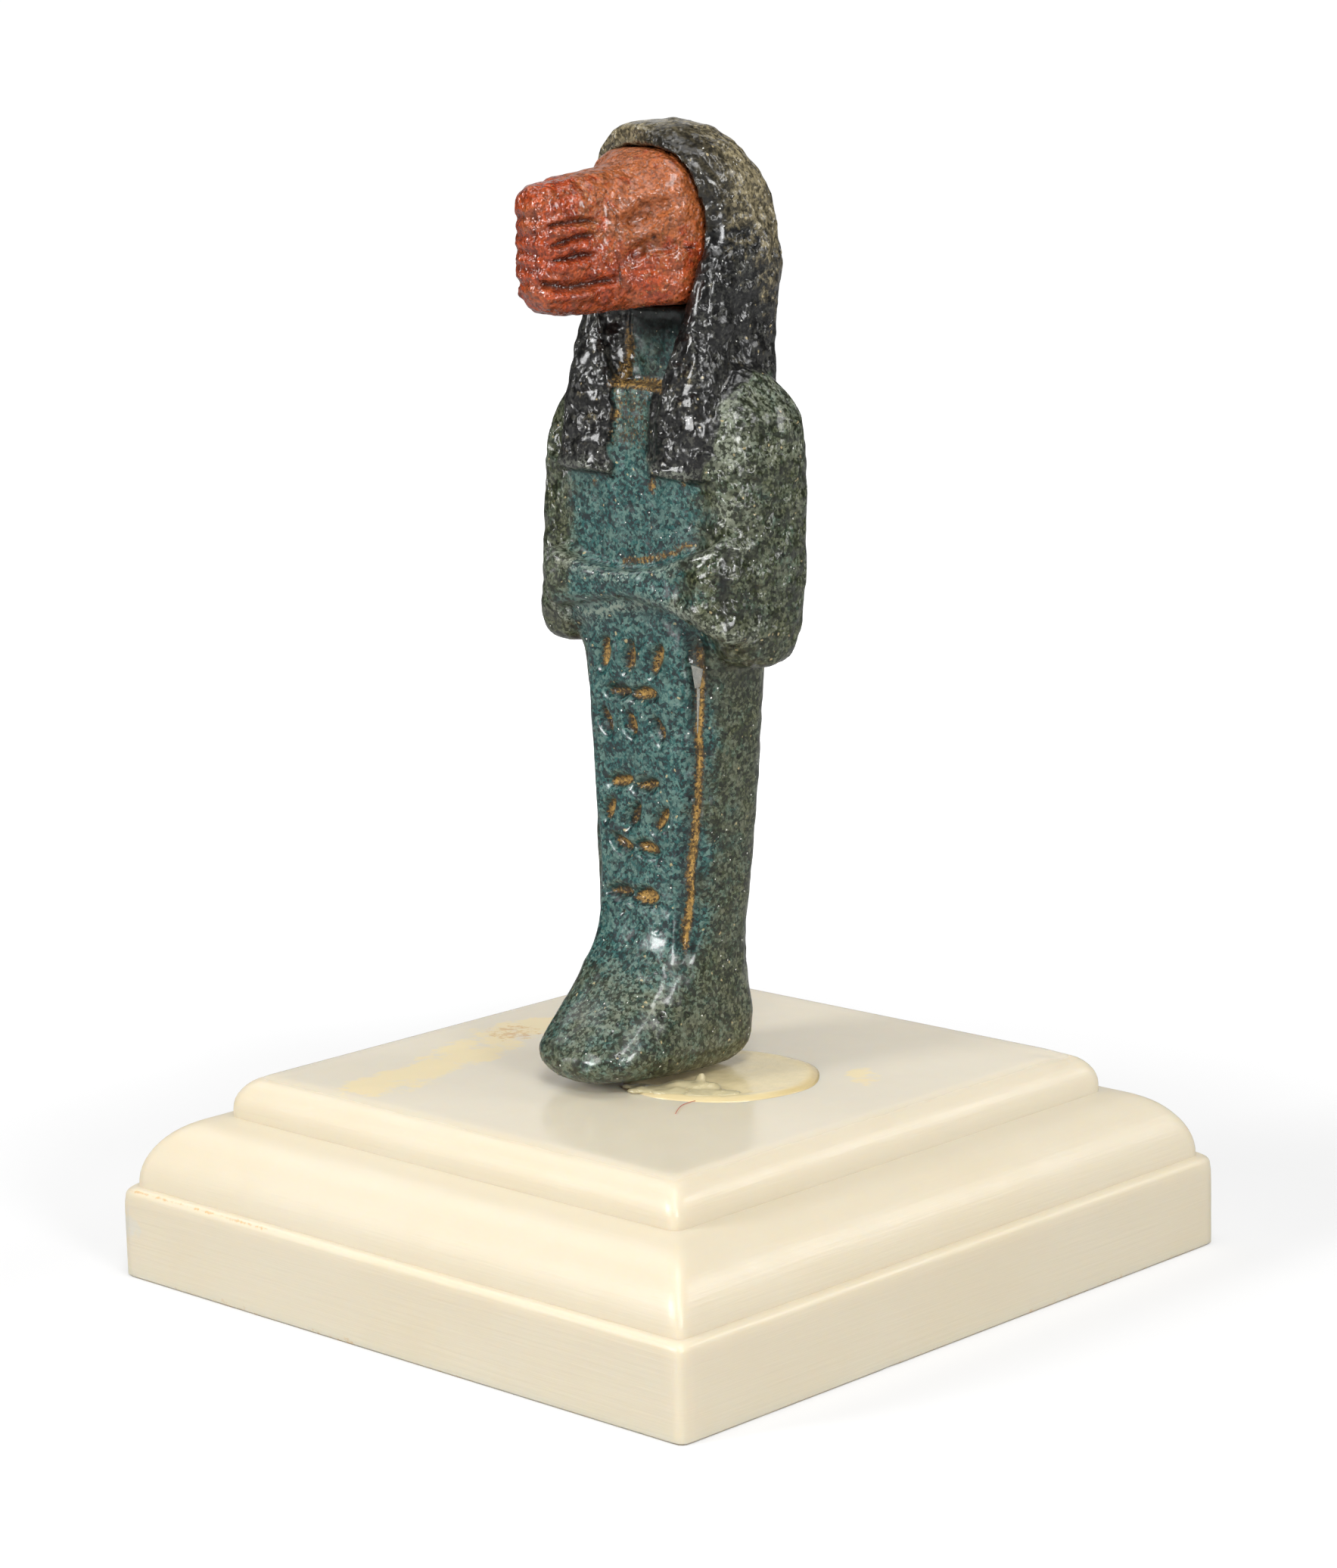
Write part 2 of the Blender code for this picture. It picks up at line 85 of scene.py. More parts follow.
# The mesh of a piece with its modifiers applied; the piece itself goes
def frozenMesh(piece):
    bpy.context.view_layer.update()
    shown = piece.evaluated_get(bpy.context.evaluated_depsgraph_get())
    mesh = bpy.data.meshes.new_from_object(shown)
    bpy.data.objects.remove(piece, do_unlink=True)
    return mesh


def meshFrom(bm, name):
    mesh = bpy.data.meshes.new(name)
    bm.to_mesh(mesh)
    bm.free()
    return mesh


def fineSkin(node, name, voxel, rounds):
    rough = linkNew(name + "Rough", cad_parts[node].data.copy())
    remesh = rough.modifiers.new("fine skin", "REMESH")
    remesh.mode = "VOXEL"
    remesh.voxel_size = voxel
    smooth = rough.modifiers.new("soft edges", "SMOOTH")
    smooth.factor = 0.5
    smooth.iterations = rounds
    mesh = frozenMesh(rough)
    mesh.materials.clear()
    mesh.shade_smooth()
    return linkNew(name, mesh)


def getPoints(mesh, what="co"):
    flat = np.empty(len(mesh.vertices) * 3)
    mesh.vertices.foreach_get(what, flat)
    return flat.reshape(-1, 3)


def getNormals(mesh):
    return getPoints(mesh, "normal")


def setPoints(mesh, points):
    mesh.vertices.foreach_set("co", points.astype(np.float32).ravel())
    mesh.update()


def toSpace(points, space):
    back = np.array(space.inverted())
    return points @ back[:3, :3].T + back[:3, 3]


def paint(mesh, name, values):
    layer = mesh.attributes.new(name, "FLOAT", "POINT")
    layer.data.foreach_set("value", np.clip(values, 0.0, 1.0).astype(np.float32))


def relaxed(mesh, points, rounds):
    flat = np.empty(len(mesh.edges) * 2, dtype=np.int64)
    mesh.edges.foreach_get("vertices", flat)
    edges = flat.reshape(-1, 2)
    count = np.bincount(edges.ravel(), minlength=len(points))[:, None]
    result = points.copy()
    for _ in range(rounds):
        total = np.zeros_like(result)
        for axis in range(3):
            total[:, axis] += np.bincount(edges[:, 0], result[edges[:, 1], axis], len(points))
            total[:, axis] += np.bincount(edges[:, 1], result[edges[:, 0], axis], len(points))
        result = 0.5 * result + 0.5 * total / np.maximum(count, 1)
    return result


# Normals of the broad form, as if the finer carving weren't there
def broadNormals(mesh, points, rounds):
    setPoints(mesh, relaxed(mesh, points, rounds))
    normals = getNormals(mesh)
    setPoints(mesh, points)
    return normals


# Smooth noise between -1 and 1 with lumps of the given size
def lumps(points, size, seed):
    scaled = points / size
    cell = np.floor(scaled).astype(np.int64)
    inside = scaled - cell
    inside = inside * inside * (3.0 - 2.0 * inside)
    total = np.zeros(len(points))
    for corner in range(8):
        step = np.array((corner & 1, corner >> 1 & 1, corner >> 2 & 1))
        share = np.prod(np.where(step, inside, 1.0 - inside), axis=1)
        at = cell + step
        code = at[:, 0] * 73856093 ^ at[:, 1] * 19349663 ^ at[:, 2] * 83492791 ^ seed * 2654435
        code = (code ^ (code >> 13)) * 1274126177 & 0x7FFFFFFF
        code = (code ^ (code >> 15)) * 668265263 & 0x7FFFFFFF
        total += share * ((code & 0xFFFF) / 32767.5 - 1.0)
    return total


# Several sizes of lumps together, each with its height, size and seed
def roughLumps(points, layers):
    return sum(height * lumps(points, size, seed) for height, size, seed in layers)


def ease(low, high, values):
    t = np.clip((values - low) / (high - low), 0.0, 1.0)
    return t * t * (3.0 - 2.0 * t)


# One in the middle, falling off softly to either side of the given width
def bell(away, width):
    return np.exp(-((away / width) ** 2))


# Distance of flat points from a path, and how far along it they are, from 0 to 1
def alongPath(flat, path):
    path = np.array(path, dtype=float)
    nearest = np.full(len(flat), 1e9)
    share = np.zeros(len(flat))
    runs = np.linalg.norm(path[1:] - path[:-1], axis=1)
    total = runs.sum()
    gone = 0.0
    for start, end, run in zip(path, path[1:], runs):
        t = np.clip(((flat - start) @ (end - start)) / (run * run), 0.0, 1.0)
        away = np.linalg.norm(flat - start - t[:, None] * (end - start), axis=1)
        closer = away < nearest
        nearest = np.where(closer, away, nearest)
        share = np.where(closer, (gone + t * run) / total, share)
        gone += run
    return nearest, share


# How far flat points lie inside an outline, below zero outside it
def insideOf(flat, outline):
    loop = [*outline, outline[0]]
    away = alongPath(flat, loop)[0]
    within = np.zeros(len(flat), dtype=bool)
    for (startX, startZ), (endX, endZ) in zip(loop, loop[1:]):
        crossed = (startZ > flat[:, 1]) != (endZ > flat[:, 1])
        run = endZ - startZ if endZ != startZ else 1.0
        within ^= crossed & (flat[:, 0] < startX + (flat[:, 1] - startZ) * (endX - startX) / run)
    return np.where(within, away, -away)


# A cut with a raised lip, fading at both ends
def cutLine(flat, path, width, depth, lip=0.0, taper=0.0):
    away, share = alongPath(flat, path)
    fade = ease(0.0, 0.08, share) * ease(1.0, 0.92, share) * 0.6 + 0.4
    wide = width * (1.0 - taper + taper * np.sin(math.pi * share))
    cut = bell(away, wide)
    rim = bell(away - 1.9 * wide, wide)
    return (lip * rim - depth * cut) * fade, cut * fade


# Round pits with a flat floor and a faint rim
def dimples(points, centres, radii, depths):
    push = np.zeros(len(points))
    for centre, radius, depth in zip(centres, radii, depths):
        away = np.linalg.norm(points - centre, axis=1) / radius
        near = away < 1.6
        push[near] -= depth * np.exp(-((away[near] / 0.75) ** 4))
        push[near] += 0.18 * depth * bell(away[near] - 1.2, 0.25)
    return push


# Shader helpers
def newMaterial(name):
    material = bpy.data.materials.new(name)
    material.use_nodes = True
    tree = material.node_tree
    return material, tree, tree.nodes["Principled BSDF"]


def setFinish(shader, finish):
    for socket, value in finish.items():
        shader.inputs[socket].default_value = value


def addNode(tree, kind, **settings):
    node = tree.nodes.new(kind)
    for key, value in settings.items():
        setattr(node, key, value)
    return node


def feed(tree, socket, source):
    if isinstance(source, bpy.types.NodeSocket):
        tree.links.new(source, socket)
    elif isinstance(source, tuple) and len(source) == 3 and socket.type == "RGBA":
        socket.default_value = (*source, 1.0)
    else:
        socket.default_value = source


def mixed(tree, factor, first, second, blend="MIX"):
    node = addNode(tree, "ShaderNodeMix", data_type="RGBA", blend_type=blend)
    feed(tree, node.inputs["Factor"], factor)
    feed(tree, node.inputs[6], first)
    feed(tree, node.inputs[7], second)
    return node.outputs[2]


def tinted(tree, colour, tone):
    return mixed(tree, 1.0, colour, tone, "MULTIPLY")


def maths(tree, operation, first, second=0.0, third=0.0):
    node = addNode(tree, "ShaderNodeMath", operation=operation)
    feed(tree, node.inputs[0], first)
    feed(tree, node.inputs[1], second)
    feed(tree, node.inputs[2], third)
    return node.outputs[0]


def times(tree, first, second):
    return maths(tree, "MULTIPLY", first, second)


def added(tree, base, value, share):
    return maths(tree, "MULTIPLY_ADD", value, share, base)


def ranged(tree, value, low, high, start=0.0, end=1.0):
    node = addNode(tree, "ShaderNodeMapRange", interpolation_type="SMOOTHSTEP")
    feed(tree, node.inputs["Value"], value)
    node.inputs["From Min"].default_value = low
    node.inputs["From Max"].default_value = high
    node.inputs["To Min"].default_value = start
    node.inputs["To Max"].default_value = end
    return node.outputs["Result"]


def painted(tree, name):
    return addNode(tree, "ShaderNodeAttribute", attribute_name=name).outputs["Fac"]


def place(tree):
    return addNode(tree, "ShaderNodeTexCoord").outputs["Object"]


def cloud(tree, size, detail=3.0, roughness=0.55):
    node = addNode(tree, "ShaderNodeTexNoise")
    feed(tree, node.inputs["Vector"], place(tree))
    node.inputs["Scale"].default_value = 1.0 / size
    node.inputs["Detail"].default_value = detail
    node.inputs["Roughness"].default_value = roughness
    return node.outputs["Fac"]


def usedGroup(tree, group, values):
    node = addNode(tree, "ShaderNodeGroup", node_tree=group)
    for key, value in values.items():
        feed(tree, node.inputs[key], value)
    return node


def newGroup(name, inputs, outputs):
    group = bpy.data.node_groups.new(name, "ShaderNodeTree")
    for way, labels in (("INPUT", inputs), ("OUTPUT", outputs)):
        for label in labels:
            group.interface.new_socket(label, in_out=way, socket_type="NodeSocketFloat")
    start = group.nodes.new("NodeGroupInput")
    end = group.nodes.new("NodeGroupOutput")
    return group, start.outputs, end.inputs


# Fused sand grains: a random tone for each grain, its height, and rare bright flecks
def grainGroup():
    given = ["Tone", "Flecks", "Height"]
    group, start, end = newGroup("fusedGrains", ["Size", "Fleck Share"], given)
    scale = maths(group, "DIVIDE", 1.0, start["Size"])
    warp = addNode(group, "ShaderNodeTexNoise")
    feed(group, warp.inputs["Vector"], place(group))
    feed(group, warp.inputs["Scale"], scale)
    warp.inputs["Detail"].default_value = 1.0
    bend = addNode(group, "ShaderNodeCombineXYZ")
    for axis in range(3):
        feed(group, bend.inputs[axis], start["Size"])
    shift = addNode(group, "ShaderNodeVectorMath", operation="MULTIPLY_ADD")
    feed(group, shift.inputs[0], warp.outputs["Color"])
    feed(group, shift.inputs[1], bend.outputs[0])
    feed(group, shift.inputs[2], place(group))
    cells = addNode(group, "ShaderNodeTexVoronoi")
    feed(group, cells.inputs["Vector"], shift.outputs[0])
    feed(group, cells.inputs["Scale"], scale)
    split = addNode(group, "ShaderNodeSeparateColor")
    feed(group, split.inputs[0], cells.outputs["Color"])
    rare = maths(group, "LESS_THAN", split.outputs[1], start["Fleck Share"])
    core = ranged(group, cells.outputs["Distance"], 0.45, 0.25)
    feed(group, end["Tone"], split.outputs[0])
    feed(group, end["Flecks"], times(group, rare, core))
    feed(group, end["Height"], maths(group, "SUBTRACT", 1.0, cells.outputs["Distance"]))
    return group


# A deposit that clings to a painted mask and breaks up into crumbs
def depositGroup():
    group, start, end = newGroup("clingingDeposit", ["Mask", "Crumb Size"], ["Cover"])
    crumbs = addNode(group, "ShaderNodeTexNoise")
    feed(group, crumbs.inputs["Vector"], place(group))
    feed(group, crumbs.inputs["Scale"], maths(group, "DIVIDE", 1.0, start["Crumb Size"]))
    crumbs.inputs["Detail"].default_value = 4.0
    crumbs.inputs["Roughness"].default_value = 0.7
    broken = maths(group, "SUBTRACT", crumbs.outputs["Fac"], 0.5)
    lifted = added(group, start["Mask"], broken, 1.6)
    present = ranged(group, start["Mask"], 0.02, 0.15)
    feed(group, end["Cover"], times(group, ranged(group, lifted, 0.35, 0.65), present))
    return group


grains = grainGroup()
deposit = depositGroup()


def sand(tree, size, fleckShare):
    return usedGroup(tree, grains, {"Size": size, "Fleck Share": fleckShare}).outputs


def clinging(tree, mask, crumbSize):
    values = {"Mask": painted(tree, mask), "Crumb Size": crumbSize}
    return usedGroup(tree, deposit, values).outputs["Cover"]


def bumped(tree, shader, layers):
    normal = None
    for height, distance, strength in layers:
        bump = addNode(tree, "ShaderNodeBump")
        bump.inputs["Strength"].default_value = strength
        bump.inputs["Distance"].default_value = distance
        feed(tree, bump.inputs["Height"], height)
        if normal is not None:
            feed(tree, bump.inputs["Normal"], normal)
        normal = bump.outputs["Normal"]
    feed(tree, shader.inputs["Normal"], normal)


# The glazed body: blue-green in front, olive at the sides, black wig, ochre in the recesses.
# Each of its glazes has a dark, a middle and a pale tone.
faience = {
    "teal": ((0.003, 0.012, 0.014), (0.008, 0.074, 0.07), (0.1, 0.2, 0.17)),
    "olive": ((0.009, 0.012, 0.004), (0.034, 0.041, 0.014), (0.13, 0.135, 0.07)),
    "wig": ((0.0015, 0.0015, 0.0015), (0.005, 0.005, 0.005), (0.05, 0.05, 0.042)),
    "toneStops": (0.27, 0.53, 0.86),
    "bloom": (0.09, 0.105, 0.09),
    "patinaAndSheen": (0.21, 0.175, 0.1),
    "patinaCover": 0.75,
    "patinaCrumb": 0.7 * mm,
    "ochre": (0.46, 0.27, 0.065),
    "darkOchre": (0.045, 0.026, 0.009),
    "ochreCrumb": 0.22 * mm,
    "worn": (0.29, 0.315, 0.25),
    "grain": 0.26 * mm,
    "grainHeight": 0.005 * mm,
    "fleck": (0.42, 0.34, 0.18),
    "fleckShare": 0.018,
    "fineGrain": 0.15 * mm,
    "paintedGlint": (0.75, 0.75, 0.7),
    "paintedGlintShare": 0.006,
    "knobs": ((1.4 * mm, 1.15 * mm), (0.6 * mm, 0.2 * mm)),  # size and height
    "gloss": (0.36, 0.285),
    "finish": {"Specular IOR Level": 0.45, "Coat Weight": 0.35, "Coat Roughness": 0.13},
}


def threeTones(tree, tone, colours):
    ramp = addNode(tree, "ShaderNodeValToRGB")
    feed(tree, ramp.inputs[0], tone)
    stops = ramp.color_ramp.elements
    stops.new(faience["toneStops"][1])
    for stop, position, colour in zip(stops, faience["toneStops"], colours):
        stop.position = position
        stop.color = (*colour, 1.0)
    return ramp.outputs["Color"]


def faienceMaterial():
    material, tree, shader = newMaterial("tealFaience")
    coarse = sand(tree, faience["grain"], faience["fleckShare"])
    fine = sand(tree, faience["fineGrain"], faience["paintedGlintShare"])
    tone = times(tree, fine["Tone"], 0.5)
    tone = added(tree, tone, coarse["Tone"], 0.52)
    tone = added(tree, tone, cloud(tree, 1.3 * mm, 4.0), 0.55)
    tone = maths(tree, "SUBTRACT", tone, 0.29)
    teal, olive, wig = (threeTones(tree, tone, faience[name]) for name in ("teal", "olive", "wig"))
    blue = added(tree, painted(tree, "blueFront"), cloud(tree, 1.2 * mm, 4.0), 1.2)
    blue = added(tree, blue, fine["Tone"], 0.4)
    colour = mixed(tree, ranged(tree, blue, 0.75, 1.75), olive, teal)
    specks = added(tree, coarse["Tone"], cloud(tree, 2.6 * mm), 1.6)
    colour = mixed(tree, ranged(tree, specks, 1.2, 1.75, 0.0, 0.3), colour, faience["bloom"])
    # Patina on the wig; on the crown its paler colour also serves as a painted highlight
    crust = tinted(tree, faience["patinaAndSheen"], ranged(tree, tone, 0.2, 0.9, 0.3, 1.7))
    patinaAndSheen = times(tree, clinging(tree, "patinaAndSheen", faience["patinaCrumb"]), faience["patinaCover"])
    wig = mixed(tree, patinaAndSheen, wig, crust)
    hair = added(tree, painted(tree, "wig"), cloud(tree, 0.8 * mm), 0.5)
    colour = mixed(tree, ranged(tree, hair, 0.6, 0.95), colour, wig)
    # Painted highlights: lighter on raised edges, convex bends and broad spots
    highlightShare = times(tree, painted(tree, "paintedHighlight"), ranged(tree, tone, 0.35, 0.75, 0.05, 0.7))
    colour = mixed(tree, highlightShare, colour, faience["worn"])
    # Painted shade: the glaze darkened in cuts, pits, under the head and beside it
    colour = tinted(tree, colour, ranged(tree, painted(tree, "paintedShade"), 0.0, 1.0, 1.0, 0.12))
    colour = mixed(tree, times(tree, coarse["Flecks"], 0.8), colour, faience["fleck"])
    # Painted glints: rare white dots on the glaze
    colour = mixed(tree, fine["Flecks"], colour, faience["paintedGlint"])
    earth = clinging(tree, "ochre", faience["ochreCrumb"])
    packed = added(tree, painted(tree, "ochre"), fine["Tone"], 0.8)
    earthTone = mixed(tree, ranged(tree, packed, 0.8, 1.8), faience["darkOchre"], faience["ochre"])
    feed(tree, shader.inputs["Base Color"], mixed(tree, earth, colour, earthTone))
    smooth = added(tree, cloud(tree, 0.9 * mm), coarse["Tone"], 0.2)
    knobbly = ranged(tree, painted(tree, "knobbly"), 0.0, 1.0, 0.22, 1.0)
    gloss = ranged(tree, smooth, 0.4, 0.68, *faience["gloss"])
    gloss = added(tree, gloss, maths(tree, "SUBTRACT", 1.0, knobbly), 0.1)
    feed(tree, shader.inputs["Roughness"], added(tree, gloss, earth, 0.4))
    setFinish(shader, faience["finish"])
    layers = []
    for size, height in faience["knobs"]:
        layers.append((times(tree, cloud(tree, size, 1.0), knobbly), height, 1.0))
    layers.append((coarse["Height"], faience["grainHeight"], 1.0))
    bumped(tree, shader, layers)
    return material


# The red head: dusty above, glossy and redder on the muzzle
redware = {
    "dusty": (0.3, 0.088, 0.022),
    "dustCrumb": 0.7 * mm,
    "red": (0.345, 0.054, 0.013),
    "deepRed": (0.23, 0.034, 0.012),
    "sheen": (0.34, 0.11, 0.04),
    "grooveShade": (0.035, 0.008, 0.005),
    "soil": (0.4, 0.24, 0.09),
    "soilShare": 0.03,
    "grain": 0.16 * mm,
    "grainHeight": 0.006 * mm,
    "knobSize": 0.75 * mm,
    "knobHeight": 0.55 * mm,
    "gloss": (0.24, 0.09),
    "dullDust": 0.24,
    "finish": {"Specular IOR Level": 0.45, "Coat Weight": 0.32, "Coat Roughness": 0.12},
}


def redwareMaterial():
    material, tree, shader = newMaterial("redFaience")
    fine = sand(tree, redware["grain"], redware["soilShare"])
    patches = ranged(tree, cloud(tree, 0.8 * mm), 0.35, 0.65)
    body = mixed(tree, patches, redware["deepRed"], redware["red"])
    shine = ranged(tree, cloud(tree, 2.2 * mm), 0.45, 0.7, 0.0, 0.4)
    body = mixed(tree, shine, body, redware["sheen"])
    dust = clinging(tree, "dust", redware["dustCrumb"])
    colour = mixed(tree, times(tree, dust, 0.8), body, redware["dusty"])
    tone = added(tree, fine["Tone"], cloud(tree, 0.4 * mm, 4.0), 1.2)
    colour = tinted(tree, colour, ranged(tree, tone, 0.4, 1.8, 0.52, 1.32))
    colour = mixed(tree, times(tree, fine["Flecks"], 0.5), colour, redware["soil"])
    # Painted shade in the head's cuts, cracks and holes
    colour = mixed(tree, painted(tree, "paintedShade"), colour, redware["grooveShade"])
    feed(tree, shader.inputs["Base Color"], colour)
    smooth = ranged(tree, cloud(tree, 0.7 * mm), 0.4, 0.62, *redware["gloss"])
    feed(tree, shader.inputs["Roughness"], added(tree, smooth, dust, redware["dullDust"]))
    setFinish(shader, redware["finish"])
    bumped(tree, shader, [
        (cloud(tree, redware["knobSize"], 2.0), redware["knobHeight"], 1.0),
        (fine["Height"], redware["grainHeight"], 1.0),
    ])
    return material


# Cream stone: cloudy, slightly see-through, stained and finely scratched
stone = {
    "pale": (0.635, 0.57, 0.44),
    "warm": (0.62, 0.54, 0.39),
    "polished": (0.72, 0.66, 0.53),
    "stain": (0.84, 0.66, 0.28),
    "rust": (0.55, 0.28, 0.06),
    "scuff": (0.5, 0.56, 0.6),
    "deposits": {"stain": (2.5 * mm, 0.55), "rust": (0.6 * mm, 0.6), "scuff": (1.0 * mm, 0.25)},
    "gloss": (0.34, 0.42),
    "polish": -0.17,
    "scratchStretch": (1.0, 1.0, 26.0),
    "scratchScale": 180.0,
    "finish": {
        "Subsurface Weight": 0.4,
        "Subsurface Radius": (2.2 * mm, 1.5 * mm, 0.8 * mm),
        "Subsurface Scale": 1.0,
    },
}


def stoneMaterial():
    material, tree, shader = newMaterial("creamStone")
    polish = painted(tree, "polish")
    cloudy = ranged(tree, cloud(tree, 14.0 * mm, 5.0), 0.35, 0.7)
    colour = mixed(tree, times(tree, cloudy, 0.5), stone["pale"], stone["warm"])
    colour = mixed(tree, times(tree, polish, 0.35), colour, stone["polished"])
    for name, (crumbSize, strength) in stone["deposits"].items():
        cover = times(tree, clinging(tree, name, crumbSize), strength)
        colour = mixed(tree, cover, colour, stone[name])
    feed(tree, shader.inputs["Base Color"], colour)
    gloss = ranged(tree, cloud(tree, 3.0 * mm, 4.0), 0.3, 0.7, *stone["gloss"])
    feed(tree, shader.inputs["Roughness"], added(tree, gloss, polish, stone["polish"]))
    setFinish(shader, stone["finish"])
    stretch = addNode(tree, "ShaderNodeMapping")
    stretch.inputs["Scale"].default_value = stone["scratchStretch"]
    feed(tree, stretch.inputs["Vector"], place(tree))
    streaks = addNode(tree, "ShaderNodeTexNoise")
    feed(tree, streaks.inputs["Vector"], stretch.outputs[0])
    streaks.inputs["Scale"].default_value = stone["scratchScale"]
    streaks.inputs["Detail"].default_value = 6.0
    drawn = times(tree, streaks.outputs["Fac"], maths(tree, "SUBTRACT", 1.0, polish))
    bumped(tree, shader, [(drawn, 0.04 * mm, 0.5), (cloud(tree, 6.0 * mm, 2.0), 0.05 * mm, 0.3)])
    return material


# Adhesive: yellowish, clear and waxy
glue = {
    "clear": (0.77, 0.62, 0.35),
    "waxy": (0.52, 0.45, 0.27),
    "aged": (0.6, 0.42, 0.16),
    "finish": {
        "IOR": 1.46,
        "Subsurface Weight": 0.3,
        "Subsurface Radius": (1.2 * mm, 1.0 * mm, 0.7 * mm),
        "Subsurface Scale": 1.0,
    },
}


def glueMaterial(name, colour, clearness, roughness):
    material, tree, shader = newMaterial(name)
    milky = ranged(tree, cloud(tree, 1.2 * mm, 4.0), 0.35, 0.7)
    pale = tuple(min(1.0, channel * 1.06) for channel in colour)
    cloudy = mixed(tree, milky, colour, pale)
    aged = mixed(tree, painted(tree, "edge"), cloudy, glue["aged"])
    feed(tree, shader.inputs["Base Color"], aged)
    gloss = ranged(tree, milky, 0.0, 1.0, roughness, roughness + 0.15)
    feed(tree, shader.inputs["Roughness"], gloss)
    shader.inputs["Transmission Weight"].default_value = clearness
    setFinish(shader, glue["finish"])
    bumped(tree, shader, [(cloud(tree, 0.6 * mm, 3.0), 0.05 * mm, 0.5)])
    return material


def plainMaterial(name, colour, roughness, clearness=0.0):
    material, tree, shader = newMaterial(name)
    tone = ranged(tree, cloud(tree, 0.5 * mm), 0.3, 0.7, 0.8, 1.1)
    feed(tree, shader.inputs["Base Color"], tinted(tree, colour, tone))
    shader.inputs["Roughness"].default_value = roughness
    shader.inputs["Transmission Weight"].default_value = clearness
    return material


# Body: carving and wear on a fine skin, with painted shade in its recesses and painted highlights
# on its edges. Paths are x and z in the figure's upright space.
bodyWork = {
    "voxel": 0.2 * mm,
    "crispness": 0.55,
    "border": [
        (4.98, 28.8), (4.93, 25.0), (4.78, 21.0), (4.58, 17.5), (4.13, 14.0), (3.93, 10.0),
        (4.08, 7.4),
    ],
    "borderWidth": 0.38,
    "borderDepth": 0.5,
    "nearLappet": [
        (1.75, 38.3), (1.6, 42.0), (1.9, 44.0), (3.0, 46.0), (4.0, 48.0), (4.0, 52.0), (8.5, 52.0),
        (8.5, 45.0), (6.9, 44.6), (7.0, 41.8), (6.8, 40.0), (6.1, 38.2),
    ],
    "farLappet": [
        (-1.6, 38.1), (-1.45, 42.0), (-1.55, 44.0), (-1.65, 48.0), (-2.5, 52.0), (-9.0, 52.0),
        (-9.0, 45.0), (-6.6, 44.6), (-6.2, 42.0), (-6.0, 38.1),
    ],
    "throat": [(-1.6, 43.6), (-1.7, 50.5), (4.4, 50.5), (4.3, 47.5), (3.4, 45.5), (2.2, 43.6)],
    "throatLedge": [(-1.65, 49.0), (-1.6, 43.75), (3.0, 43.6)],
    "throatEdge": [(4.1, 48.4), (3.3, 46.4), (2.3, 44.6)],
    "armShelf": [(-0.5, 32.6), (2.5, 33.2), (5.0, 34.1)],
    "ridges": [
        [
            (-6.9, 30.6), (-6.6, 32.3), (-6.0, 32.8), (-4.6, 32.3), (-2.8, 31.85), (0.0, 31.75),
            (3.0, 32.2), (6.4, 33.4), (7.8, 34.5), (8.6, 34.2),
        ],
        [
            (-6.9, 29.3), (-6.1, 28.6), (-3.5, 29.1), (0.0, 30.1), (3.5, 30.6), (6.2, 30.1),
            (8.5, 28.9),
        ],
        [(1.8, 39.3), (2.6, 38.75), (4.2, 38.6), (6.1, 38.5)],
        [(-5.8, 38.7), (-4.4, 38.5), (-2.7, 38.6), (-1.8, 38.4)],
    ],
    "ridgeWidths": [0.33, 0.6, 0.33, 0.33],
    "ridgeHeight": 0.3,
    "crease": [(8.3, 34.2), (8.45, 32.0), (8.4, 29.9)],
    "strokeRows": [  # height, slope in degrees, count and length
        (26.6, 70.0, 3, 1.8),
        (24.3, 6.0, 2, 1.9),
        (22.2, 112.0, 3, 1.4),
        (18.5, 14.0, 2, 1.9),
        (16.4, 62.0, 3, 1.6),
        (14.4, 172.0, 2, 1.7),
        (11.3, 8.0, 2, 2.0),
    ],
    "strokeMiddle": -0.3,
    "strokePitch": 2.3,
    "strokeRun": 0.25,
    "strokeWidth": 0.42,
    "strokeDepth": 0.52,
    "strokeOchre": (1.0, 0.75, 0.9, 0.65),
    "ochreSpots": [(1.9, 37.6, 0.5), (-1.2, 41.8, 0.45), (-3.2, 37.4, 0.3), (4.6, 37.9, 0.25)],
    "wornSpots": [  # x, z, radius and strength
        (6.4, 42.4, 2.1, 1.0), (7.6, 40.2, 1.3, 1.0), (7.9, 36.4, 0.9, 0.9), (1.3, 4.6, 2.6, 0.4),
    ],
    "rough": [(0.1, 1.7, 11), (0.09, 0.85, 12), (0.05, 0.45, 13)],
    "pits": 260,
    "pitRadius": (0.1, 0.26),
    "pitDepth": (0.7, 1.2),
    "seed": 7,
    "openingMiddle": 53.3,
}


def strokePaths():
    paths = []
    for height, slope, count, length in bodyWork["strokeRows"]:
        angle = math.radians(slope)
        half = Vector((math.cos(angle), math.sin(angle))) * (length + bodyWork["strokeRun"]) / 2.0
        for index in range(count):
            shift = (index - (count - 1) / 2.0) * bodyWork["strokePitch"]
            middle = Vector((bodyWork["strokeMiddle"] + shift, height))
            paths.append([tuple(middle - half), tuple(middle + half)])
    return paths


def borderPaths():
    return [[(side * x, z) for x, z in bodyWork["border"]] for side in (1.0, -1.0)]


